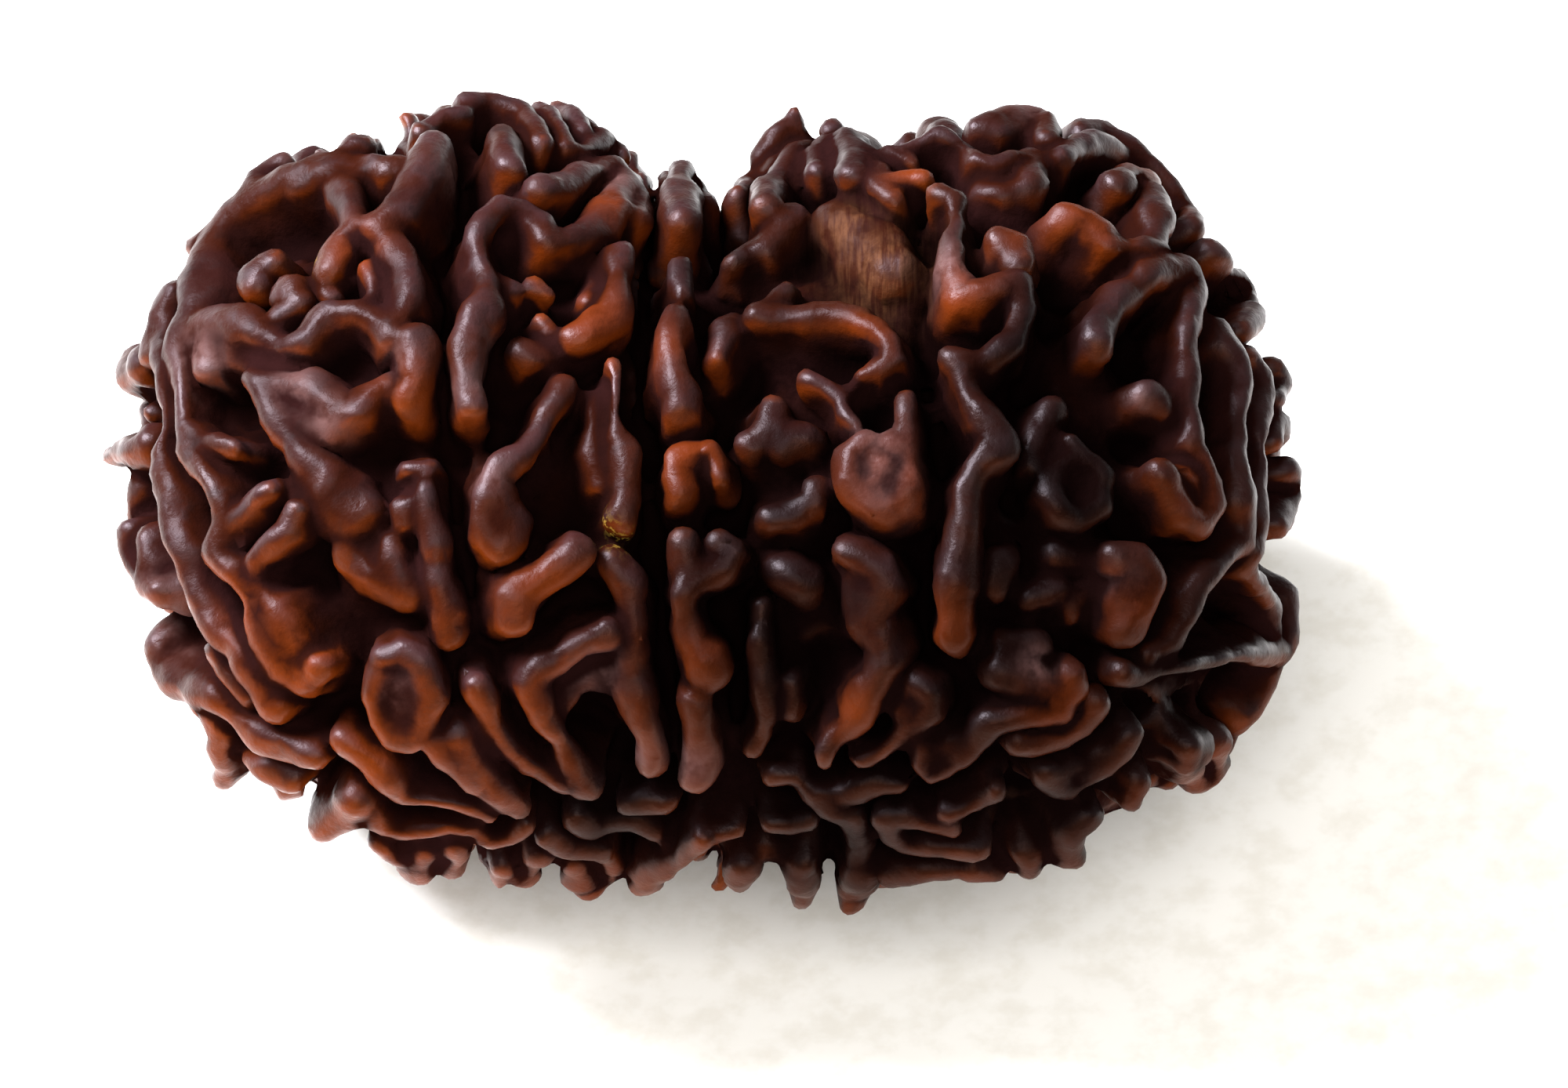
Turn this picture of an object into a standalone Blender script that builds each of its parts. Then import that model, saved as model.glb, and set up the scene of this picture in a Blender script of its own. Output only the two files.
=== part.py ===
"""Twin rudraksha bead: two stones of one fruit that grew together side by side, as one solid.

The bead lies on its side. X runs across both stones, Y along their pole axes from the shared
pole in front to the two poles behind, and Z is up. The bead's form is a distance field worked
out in millimetres: a smooth body, less its grooves and hollows, plus the ridges that stand on it.
"""

import math

import bpy
import numpy as np
import openvdb

MM = 0.001

# Body under the ridges, in millimetres from the middle of the bead
LEFT_STONE = (-7.75, 0.3, 0.35)
RIGHT_STONE = (7.6, 0.0, 0.0)
STONE_RADII = (9.1, 11.9, 9.3)
BRIDGE = (0.3, -2.1, -0.2)
BRIDGE_RADII = (6.6, 9.3, 7.7)
STONE_BLEND = 3.2

# The ridges in sight are placed along sight lines that come down this steeply
SIGHT_RISE = math.radians(48.0)
SIGHT_REACH = 20.0
SIGHT_STEP = 0.05

# The floor between the ridges lies this far under the body, in millimetres
FLOOR_DROP = 0.45

# Slow swells of the floor, as plane waves from a seeded draw, in millimetres
SWELL_COUNT = 14
SWELL_LENGTHS = (2.0, 4.5)
SWELL_HEIGHT = 0.12

# Form of a ridge, in millimetres. A ridge is wider than its lit top, and its walls widen by a
# share of its half width on the way down.
PIECE_LENGTH = 0.45
TOP_TO_WIDTH = 1.22
ROOT_DEPTH = 1.3
WALL_FLARE = 0.6
RIDGE_BLEND = 0.25
ROOT_BLEND = 0.5
GROOVE_BLEND = 0.3
LEAST_RADIUS = 0.2

# Grooves on the side out of sight, as turns round each stone's pole axis in degrees
LEFT_GROOVE_TURNS = (90.0, 165.0, 205.0, 250.0, 300.0)
RIGHT_GROOVE_TURNS = (97.0, 33.0, -8.0, -55.0, -105.0)
MERIDIAN_FALLS = np.radians(np.arange(14.0, 168.0, 2.4))
SEAM_CLEARANCE = 0.8

# Ridges on the side out of sight, in millimetres and radians, from one seeded draw. They start
# where the body faces away from the eye, from nearer the rim on the upper side, low at first.
SEED = 7
RIM_FACING = -0.25
FULL_FACING = -0.55
RIM_HEIGHT_SHARE = 0.05
UPPER_RIM = 0.1
UPPER_RIM_FACING = 0.2
HIDDEN_RADII = (0.42, 0.58)
RADIUS_SPREAD = 0.1
END_SWELLING = 1.3
BANK_OFFSET = 0.95
BANK_SPREAD = 0.12
BANK_LENGTHS = (5, 15)
BANK_GAPS = (1, 3)
BANK_HEIGHTS = (1.0, 1.4)
SPUR_FACING = 0.08
SPUR_HEIGHT = 0.7
SPUR_STRIDE = 3
SPUR_LENGTHS = (1.5, 4.5)
SPUR_CLEARANCE = 1.7
START_COUNT = 2600
START_RADII = (17.0, 11.0, 9.0)
POLE_AXIS = np.array([0.0, 1.0, 0.0])
HIDDEN_SPACING = 1.7
CLEARANCE = 1.45
HIDDEN_STEP = 0.5
HIDDEN_HEIGHTS = (0.9, 1.4)
HIDDEN_LENGTHS = (1.0, 4.5)
JOIN_SHARE = 0.55
JOIN_STEPS = 3
POLEWARD_SHARE = 0.6
HEADING_SPREAD = 0.3
STEADINESS = 0.75
WANDER = 0.3
KNOB_SPACING = 1.4
KNOB_HEIGHTS = (0.5, 1.0)
KNOB_SPREAD = 0.2

# The feet that the bead rests on, in millimetres from its middle
REST_LEVEL = -10.6
FEET = [(-7.9, -3.0), (-7.6, 2.9), (7.5, -2.9), (7.9, 3.1)]
FOOT_RADIUS = 0.6
FOOT_LENGTH = 1.3
FOOT_DEPTH = 0.25
BEAD_MIDDLE = (0.033, 0.34, REST_LEVEL)
CUTTER_SIZE = (0.06, 0.05, 0.01)

# Mesh: the block of cells round the bead, in millimetres, and the triangles it keeps
CELL = 0.263
BLOCK = np.array([19.4, 15.2, 13.0])
TRIANGLES = 11350
SMOOTHING_ROUNDS = 3

STONE_COLOUR = (0.09, 0.028, 0.018, 1.0)
STONE_ROUGHNESS = 0.4

SLOPE_STEP = 0.02
SETTLING_ROUNDS = 4
TINY = 1e-6
FAR = 9.0

# Ridges read off the photo, a list for each part of the bead. Each one has its height over the
# body, then points along it: millimetres right of the middle, millimetres up, and half width.
LEFT_EDGE_RIDGES = [
    (1.50, [(-10.5, 9.7, 0.55), (-11.4, 9.6, 0.6), (-12.4, 9.4, 0.6), (-13.3, 8.95, 0.6),
            (-14.1, 8.4, 0.6), (-14.7, 7.7, 0.6), (-14.95, 6.9, 0.6), (-15.0, 6.1, 0.6),
            (-15.2, 5.4, 0.55), (-15.6, 4.7, 0.45), (-15.75, 3.9, 0.35), (-15.7, 3.1, 0.3),
            (-15.75, 2.3, 0.3), (-15.6, 1.6, 0.3), (-15.2, 1.0, 0.32), (-14.8, 0.45, 0.32),
            (-14.5, -0.2, 0.35), (-14.55, -0.9, 0.35), (-14.65, -1.4, 0.4), (-14.45, -1.85, 0.38),
            (-14.0, -2.35, 0.38), (-13.7, -3.0, 0.38), (-13.4, -3.7, 0.42), (-12.95, -4.4, 0.5),
            (-12.5, -5.0, 0.6), (-11.9, -5.15, 0.65), (-11.5, -5.0, 0.5)]),
    (1.45, [(-16.2, 5.6, 0.4), (-16.2, 4.8, 0.4), (-16.15, 3.9, 0.35), (-16.2, 3.0, 0.3),
            (-16.15, 2.2, 0.3), (-16.3, 1.4, 0.38), (-16.1, 0.8, 0.52), (-15.85, 0.0, 0.55),
            (-15.7, -0.8, 0.52), (-15.5, -1.6, 0.48), (-15.4, -2.3, 0.42), (-15.1, -2.9, 0.48),
            (-14.65, -3.5, 0.5), (-14.1, -4.2, 0.5), (-13.6, -4.8, 0.48), (-13.1, -5.5, 0.48),
            (-12.75, -6.1, 0.48)]),
    (1.40, [(-13.0, 0.25, 0.3), (-13.5, -0.1, 0.32), (-13.95, -0.5, 0.35), (-14.4, -1.0, 0.4)]),
    (1.00, [(-13.3, -0.4, 0.35), (-13.7, -0.9, 0.4), (-14.1, -1.3, 0.4)]),
    (1.40, [(-12.3, -0.3, 0.32), (-12.5, -0.9, 0.32), (-12.9, -1.4, 0.32), (-13.3, -1.9, 0.36),
            (-13.45, -2.4, 0.42), (-13.2, -2.9, 0.48), (-12.8, -3.3, 0.58), (-12.45, -3.9, 0.74),
            (-12.15, -4.4, 0.84), (-12.05, -4.7, 0.8)]),
    (1.50, [(-15.85, 6.05, 0.42), (-16.15, 5.5, 0.42), (-16.4, 4.9, 0.4), (-16.5, 4.4, 0.4)]),
    (1.30, [(-17.15, 3.85, 0.42), (-16.6, 4.0, 0.5)]),
    (1.50, [(-17.85, 1.38, 0.3), (-17.45, 1.4, 0.42), (-16.9, 1.5, 0.52), (-16.7, 1.6, 0.6)]),
    (1.00, [(-16.9, 0.4, 0.45), (-17.0, -0.4, 0.45)]),
    (1.45, [(-17.25, -1.0, 0.4), (-17.2, -1.6, 0.4), (-16.9, -2.2, 0.45), (-16.3, -2.8, 0.5)]),
    (1.35, [(-16.7, -1.3, 0.5), (-16.5, -1.9, 0.55)]),
    (1.40, [(-15.3, 7.55, 0.35), (-14.9, 7.9, 0.4)]),
    (1.50, [(-12.75, 10.05, 0.45), (-13.2, 9.7, 0.5), (-13.5, 9.3, 0.4)]),
    (1.45, [(-10.4, 10.4, 0.42), (-11.0, 10.15, 0.4), (-11.6, 9.95, 0.35)]),
    (1.50, [(-16.4, -4.4, 0.55), (-16.05, -5.0, 0.58), (-15.4, -5.6, 0.52), (-14.5, -5.95, 0.45),
            (-13.95, -6.5, 0.4), (-13.3, -6.95, 0.4), (-12.5, -7.35, 0.4), (-11.7, -7.6, 0.35)]),
    (1.15, [(-16.0, -4.5, 0.6), (-15.4, -5.0, 0.72), (-14.7, -5.6, 0.66), (-14.0, -6.2, 0.5)]),
    (1.20, [(-14.6, -4.6, 0.3), (-14.1, -5.3, 0.35), (-13.6, -5.9, 0.3)]),
    (1.60, [(-14.45, -8.35, 0.36), (-14.5, -7.8, 0.42), (-14.5, -7.1, 0.44), (-14.7, -6.6, 0.46)]),
    (1.30, [(-13.6, -7.75, 0.35), (-12.9, -8.0, 0.4), (-12.35, -8.3, 0.36)]),
    (1.60, [(-11.3, -9.5, 0.55), (-10.8, -9.3, 0.5), (-10.5, -8.9, 0.4)]),
    (1.50, [(-10.0, 9.9, 0.42), (-9.55, 9.75, 0.46)]),
    (1.20, [(-15.2, 4.5, 0.6), (-14.5, 4.2, 0.66), (-13.9, 4.4, 0.5)]),
]
LEFT_STONE_RIDGES = [
    (1.30, [(-13.5, 6.4, 0.42), (-13.4, 6.75, 0.45), (-13.0, 7.05, 0.35)]),
    (1.30, [(-12.4, 6.15, 0.45), (-12.3, 5.8, 0.38), (-12.75, 5.45, 0.3)]),
    (1.30, [(-11.3, 6.8, 0.44), (-10.9, 7.4, 0.54), (-10.6, 7.85, 0.44)]),
    (0.80, [(-11.6, 6.4, 0.22), (-11.2, 6.0, 0.22)]),
    (1.30, [(-10.9, 9.1, 0.5), (-10.7, 8.5, 0.42), (-10.4, 8.0, 0.38)]),
    (1.10, [(-10.2, 6.9, 0.25), (-9.95, 6.3, 0.28), (-10.1, 5.9, 0.25)]),
    (1.45, [(-15.1, 4.9, 0.5), (-14.4, 5.15, 0.5), (-13.8, 5.0, 0.55), (-13.2, 4.7, 0.5),
            (-12.6, 4.5, 0.45), (-12.1, 4.65, 0.42), (-11.6, 5.1, 0.45), (-11.1, 5.4, 0.45),
            (-10.4, 5.5, 0.45), (-9.8, 5.3, 0.45), (-9.4, 4.8, 0.4)]),
    (1.30, [(-14.6, 4.5, 0.5), (-14.8, 3.85, 0.42)]),
    (1.10, [(-14.0, 4.2, 0.4), (-13.4, 3.9, 0.4)]),
    (1.25, [(-13.5, 3.6, 0.35), (-12.8, 3.45, 0.5), (-12.2, 3.3, 0.5), (-11.6, 3.1, 0.5),
            (-11.0, 2.6, 0.5), (-10.6, 2.4, 0.5), (-10.0, 2.8, 0.5), (-9.4, 3.15, 0.5),
            (-9.0, 3.0, 0.42)]),
    (1.20, [(-13.2, 3.3, 0.35), (-12.9, 2.7, 0.35), (-12.7, 2.0, 0.38), (-12.3, 1.4, 0.42),
            (-11.8, 0.9, 0.5), (-11.4, 0.5, 0.6)]),
    (1.05, [(-12.4, 2.4, 0.5), (-11.7, 2.2, 0.62), (-11.0, 2.1, 0.58)]),
    (0.95, [(-11.5, 0.2, 0.8), (-10.8, -0.2, 0.9), (-10.3, -0.6, 0.8)]),
    (1.25, [(-15.3, 1.9, 0.3), (-15.0, 1.55, 0.34), (-14.5, 1.6, 0.36), (-14.1, 1.5, 0.36)]),
    (1.00, [(-15.1, 1.2, 0.3), (-14.6, 0.9, 0.4), (-14.3, 0.4, 0.4), (-14.2, 0.0, 0.35)]),
    (0.85, [(-10.6, -1.7, 0.5), (-9.9, -2.2, 0.6), (-9.2, -2.6, 0.6)]),
    (1.50, [(-9.9, 8.0, 0.45), (-9.2, 8.4, 0.5), (-8.8, 9.1, 0.5), (-8.4, 9.8, 0.5),
            (-8.15, 10.4, 0.42)]),
    (1.45, [(-9.7, 8.0, 0.4), (-9.4, 7.4, 0.5), (-9.05, 6.9, 0.5), (-8.95, 6.3, 0.5),
            (-9.0, 5.7, 0.5), (-9.3, 5.3, 0.42)]),
    (1.50, [(-8.7, 4.6, 0.48), (-8.7, 4.1, 0.45), (-8.7, 3.4, 0.45), (-8.9, 2.9, 0.5)]),
    (0.95, [(-8.3, 0.95, 0.3), (-9.0, 0.9, 0.32)]),
    (1.00, [(-8.4, 0.2, 0.4), (-8.3, -0.6, 0.4), (-8.1, -1.3, 0.4), (-8.1, -2.2, 0.42),
            (-7.9, -3.0, 0.45), (-7.75, -3.6, 0.5), (-7.65, -3.95, 0.45)]),
    (0.90, [(-9.0, -0.2, 0.32), (-9.0, -0.75, 0.32)]),
    (0.90, [(-9.4, -1.5, 0.42), (-9.2, -2.2, 0.5), (-8.8, -2.8, 0.5)]),
    (1.45, [(-8.6, 11.05, 0.4), (-8.0, 11.3, 0.4), (-7.4, 11.4, 0.4)]),
    (1.55, [(-7.2, 11.75, 0.4), (-6.6, 11.85, 0.36), (-6.0, 11.7, 0.35)]),
    (1.50, [(-5.65, 11.6, 0.32), (-5.3, 11.2, 0.34), (-5.0, 10.7, 0.3)]),
    (1.50, [(-5.1, 11.75, 0.26), (-4.75, 11.45, 0.3), (-4.4, 11.0, 0.3), (-4.2, 10.6, 0.28)]),
    (1.45, [(-4.5, 11.7, 0.25), (-4.1, 11.4, 0.28), (-3.8, 11.05, 0.25)]),
    (1.40, [(-3.9, 11.4, 0.25), (-3.5, 11.15, 0.3), (-3.3, 10.9, 0.25)]),
    (1.50, [(-6.2, 10.85, 0.5), (-6.1, 10.2, 0.5), (-5.9, 9.8, 0.4)]),
    (1.45, [(-6.2, 8.6, 0.38), (-6.7, 8.2, 0.38), (-6.95, 7.6, 0.4), (-6.85, 7.0, 0.4),
            (-6.6, 6.5, 0.4), (-6.6, 6.0, 0.4), (-6.9, 5.4, 0.4), (-7.1, 4.7, 0.4),
            (-7.1, 3.9, 0.4), (-7.05, 3.2, 0.42), (-7.0, 2.75, 0.38)]),
    (1.40, [(-6.2, 8.6, 0.4), (-5.6, 8.45, 0.45), (-5.1, 8.1, 0.45), (-4.8, 7.6, 0.4),
            (-4.4, 7.6, 0.38), (-3.8, 7.7, 0.4), (-3.2, 8.1, 0.45), (-2.9, 8.6, 0.5),
            (-2.7, 9.1, 0.45), (-2.55, 9.6, 0.4), (-2.8, 9.95, 0.38), (-3.4, 9.8, 0.4),
            (-4.0, 9.55, 0.4), (-4.6, 9.35, 0.4), (-5.15, 9.2, 0.32)]),
    (1.20, [(-2.3, 9.5, 0.36), (-2.1, 8.9, 0.38), (-2.2, 8.3, 0.35)]),
    (1.35, [(-3.9, 10.4, 0.28), (-3.3, 10.6, 0.34), (-2.8, 10.6, 0.3), (-2.55, 10.3, 0.28)]),
    (1.50, [(-2.65, 7.2, 0.42), (-2.6, 6.6, 0.45), (-2.6, 6.0, 0.45), (-2.8, 5.4, 0.5),
            (-3.4, 5.0, 0.5), (-3.95, 4.8, 0.42)]),
    (0.90, [(-3.2, 6.6, 0.4), (-3.6, 5.8, 0.42)]),
    (0.80, [(-5.2, 6.3, 0.25), (-4.8, 6.1, 0.22)]),
    (0.90, [(-6.3, 6.4, 0.3), (-5.9, 6.2, 0.3)]),
    (0.85, [(-4.9, 5.2, 0.28), (-4.6, 4.7, 0.28)]),
    (0.75, [(-5.4, 4.2, 0.5), (-4.6, 4.2, 0.5)]),
    (1.10, [(-4.2, 3.4, 0.4), (-4.7, 2.6, 0.4), (-5.0, 1.9, 0.36), (-5.5, 1.3, 0.32),
            (-5.9, 1.0, 0.32), (-6.3, 0.7, 0.36), (-6.6, 0.1, 0.36), (-6.75, -0.5, 0.34),
            (-6.6, -1.1, 0.36), (-6.2, -1.4, 0.36), (-5.85, -1.2, 0.4), (-5.7, -0.6, 0.42)]),
    (1.10, [(-6.2, -0.2, 0.55), (-6.05, -0.9, 0.62)]),
    (1.35, [(-2.8, 3.9, 0.24), (-2.75, 3.2, 0.22), (-2.8, 2.5, 0.26), (-2.75, 1.9, 0.34),
            (-2.6, 1.35, 0.5), (-2.5, 0.6, 0.5), (-2.4, -0.1, 0.45), (-2.5, -0.6, 0.4)]),
    (0.90, [(-3.35, 3.0, 0.35), (-3.3, 2.2, 0.32), (-3.35, 1.4, 0.38), (-3.15, 0.5, 0.36)]),
    (1.55, [(-3.9, -1.6, 0.42), (-4.4, -1.95, 0.42), (-4.9, -2.35, 0.45), (-5.4, -2.7, 0.5),
            (-5.75, -3.1, 0.52), (-5.8, -3.6, 0.5)]),
    (1.20, [(-2.8, -1.9, 0.4), (-2.4, -2.5, 0.42), (-2.2, -3.2, 0.4), (-2.2, -4.0, 0.4),
            (-2.3, -4.7, 0.42), (-2.3, -5.3, 0.45), (-2.1, -6.0, 0.4), (-1.85, -6.6, 0.36),
            (-1.65, -7.3, 0.35), (-1.65, -7.8, 0.34)]),
    (1.45, [(-3.0, -4.0, 0.4), (-3.8, -4.35, 0.4), (-4.4, -4.8, 0.42), (-5.0, -5.1, 0.45),
            (-5.3, -5.45, 0.48), (-5.1, -6.0, 0.42), (-4.9, -6.5, 0.35), (-4.6, -7.0, 0.34),
            (-4.25, -7.5, 0.34), (-3.9, -8.0, 0.36), (-3.55, -8.5, 0.4)]),
    (1.00, [(-2.7, -4.9, 0.62), (-3.5, -5.1, 0.58), (-4.1, -5.5, 0.46), (-4.4, -6.3, 0.36)]),
    (1.35, [(-6.75, -5.55, 0.38), (-6.6, -6.1, 0.4), (-6.45, -6.7, 0.4), (-6.15, -7.1, 0.4),
            (-5.8, -7.5, 0.38), (-5.3, -7.9, 0.36), (-4.8, -8.2, 0.34), (-4.4, -8.4, 0.3)]),
    (1.30, [(-8.1, -7.2, 0.32), (-7.7, -7.6, 0.38), (-7.3, -8.0, 0.34), (-7.0, -8.45, 0.3)]),
    (1.40, [(-7.4, -7.0, 0.45), (-7.0, -7.7, 0.45), (-6.6, -8.25, 0.42), (-6.15, -8.75, 0.48),
            (-5.75, -9.05, 0.42)]),
    (1.35, [(-9.75, -5.2, 0.38), (-9.9, -5.9, 0.4), (-9.7, -6.5, 0.38), (-9.3, -6.95, 0.38),
            (-8.85, -7.0, 0.36), (-8.5, -6.6, 0.38), (-8.35, -6.0, 0.38), (-8.4, -5.4, 0.38),
            (-8.65, -4.8, 0.38), (-9.2, -4.5, 0.36), (-9.65, -4.7, 0.36)]),
    (1.28, [(-9.0, -5.3, 0.6), (-9.1, -6.2, 0.66)]),
    (1.30, [(-10.9, -7.1, 0.38), (-10.5, -7.4, 0.45), (-10.0, -7.85, 0.42), (-9.5, -8.4, 0.36),
            (-9.0, -8.85, 0.34), (-8.3, -9.0, 0.32), (-7.6, -9.1, 0.32), (-6.9, -9.25, 0.32),
            (-6.5, -9.5, 0.3)]),
    (1.30, [(-10.2, -9.0, 0.38), (-9.8, -9.45, 0.45), (-9.2, -9.8, 0.45), (-8.4, -9.8, 0.4),
            (-7.6, -9.75, 0.35), (-7.0, -9.8, 0.35), (-6.5, -10.15, 0.34), (-5.95, -10.0, 0.34),
            (-5.5, -9.75, 0.3)]),
    (1.45, [(-9.7, -10.25, 0.43), (-9.2, -10.65, 0.4)]),
    (1.50, [(-8.7, -10.75, 0.58), (-8.4, -10.4, 0.56)]),
    (1.45, [(-7.6, -10.85, 0.46), (-7.6, -10.3, 0.42)]),
    (1.50, [(-6.3, -11.25, 0.34), (-6.1, -10.95, 0.46), (-5.5, -11.0, 0.5), (-5.0, -10.6, 0.46)]),
    (1.30, [(-4.9, -10.05, 0.3), (-4.3, -10.35, 0.32), (-3.7, -10.4, 0.3), (-3.2, -10.4, 0.35),
            (-2.85, -10.9, 0.3), (-2.8, -11.35, 0.26)]),
    (1.60, [(-4.0, -10.9, 0.48), (-3.65, -11.2, 0.53), (-3.5, -11.55, 0.42)]),
    (1.10, [(-3.9, -9.5, 0.3), (-3.3, -9.7, 0.35), (-2.6, -9.6, 0.38), (-2.0, -9.7, 0.34)]),
    (1.10, [(-2.4, -9.1, 0.25), (-1.7, -9.0, 0.25), (-1.2, -9.1, 0.25)]),
]
MIDDLE_RIDGES = [
    (1.55, [(-2.0, -11.5, 0.34), (-1.8, -11.1, 0.45), (-1.2, -10.9, 0.42), (-0.7, -10.55, 0.36),
            (-0.2, -10.1, 0.3)]),
    (1.20, [(-1.6, -10.0, 0.3), (-1.2, -10.3, 0.3), (-0.7, -10.3, 0.3), (-0.2, -10.0, 0.3),
            (0.4, -9.8, 0.3), (0.9, -9.8, 0.26)]),
    (1.60, [(-0.8, 10.0, 0.34), (-0.85, 9.3, 0.5), (-0.8, 8.6, 0.48), (-0.75, 8.2, 0.38)]),
    (1.20, [(-0.4, 9.4, 0.32), (-0.15, 8.9, 0.3)]),
    (1.30, [(-0.85, 6.85, 0.34), (-0.8, 6.4, 0.38), (-0.75, 6.1, 0.32)]),
    (1.50, [(-0.95, 5.5, 0.42), (-0.95, 5.1, 0.45), (-1.1, 4.5, 0.36), (-1.1, 3.9, 0.36),
            (-1.0, 3.4, 0.42), (-0.75, 2.95, 0.52), (-0.75, 2.6, 0.48)]),
    (1.20, [(-0.9, 0.1, 0.36), (-0.95, 0.6, 0.42), (-0.75, 1.05, 0.42), (-0.35, 1.3, 0.4),
            (0.05, 1.5, 0.32), (0.3, 1.0, 0.34), (0.4, 0.55, 0.28)]),
    (1.15, [(-0.65, 0.95, 0.5), (-0.6, 0.4, 0.42)]),
    (1.45, [(-0.7, -1.25, 0.34), (-0.6, -1.8, 0.4), (-0.5, -2.4, 0.42), (-0.7, -3.0, 0.36),
            (-0.6, -3.7, 0.4), (-0.4, -4.2, 0.42), (-0.1, -4.7, 0.5), (0.05, -5.15, 0.5)]),
    (1.35, [(0.4, -1.4, 0.38), (0.8, -1.6, 0.34), (0.5, -2.05, 0.36), (-0.1, -2.3, 0.4)]),
    (1.30, [(-0.3, -6.0, 0.4), (-0.25, -6.7, 0.45), (-0.15, -7.4, 0.5), (-0.15, -7.9, 0.5),
            (-0.35, -8.4, 0.4)]),
    (0.90, [(1.6, -3.2, 0.3), (1.65, -4.2, 0.32), (1.7, -5.2, 0.32), (1.75, -6.2, 0.32),
            (1.6, -7.0, 0.36), (1.35, -7.4, 0.34)]),
    (0.70, [(2.5, -5.5, 0.32), (2.5, -6.3, 0.34)]),
    (0.70, [(2.0, 2.7, 0.34), (1.95, 2.1, 0.42), (1.3, 1.6, 0.4)]),
    (0.60, [(2.3, 1.5, 0.5), (2.8, 1.7, 0.45)]),
    (0.80, [(1.9, -0.6, 0.38), (2.6, -0.5, 0.42), (3.2, -0.2, 0.36), (3.35, 0.3, 0.34)]),
    (0.60, [(2.2, -2.2, 0.45), (3.0, -2.6, 0.45)]),
    (0.90, [(2.0, -8.3, 0.26), (2.6, -8.25, 0.28), (2.95, -8.6, 0.28)]),
    (1.55, [(1.0, -10.8, 0.5), (1.0, -11.3, 0.46)]),
    (1.10, [(1.8, -10.3, 0.4), (2.4, -10.4, 0.4)]),
    (1.60, [(2.9, -10.7, 0.52), (2.9, -11.4, 0.5), (2.85, -11.95, 0.38)]),
    (1.60, [(4.5, -10.9, 0.6), (4.4, -11.5, 0.6), (4.3, -11.95, 0.44)]),
    (1.20, [(1.9, -9.7, 0.3), (2.5, -9.75, 0.3), (3.05, -9.6, 0.3)]),
    (1.10, [(3.2, -8.75, 0.28), (3.8, -8.8, 0.3), (4.5, -8.6, 0.3), (5.2, -8.4, 0.3),
            (5.8, -8.5, 0.3)]),
    (1.30, [(3.6, -9.2, 0.3), (4.2, -9.4, 0.4), (4.6, -9.9, 0.48), (4.5, -10.4, 0.48)]),
]
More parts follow.
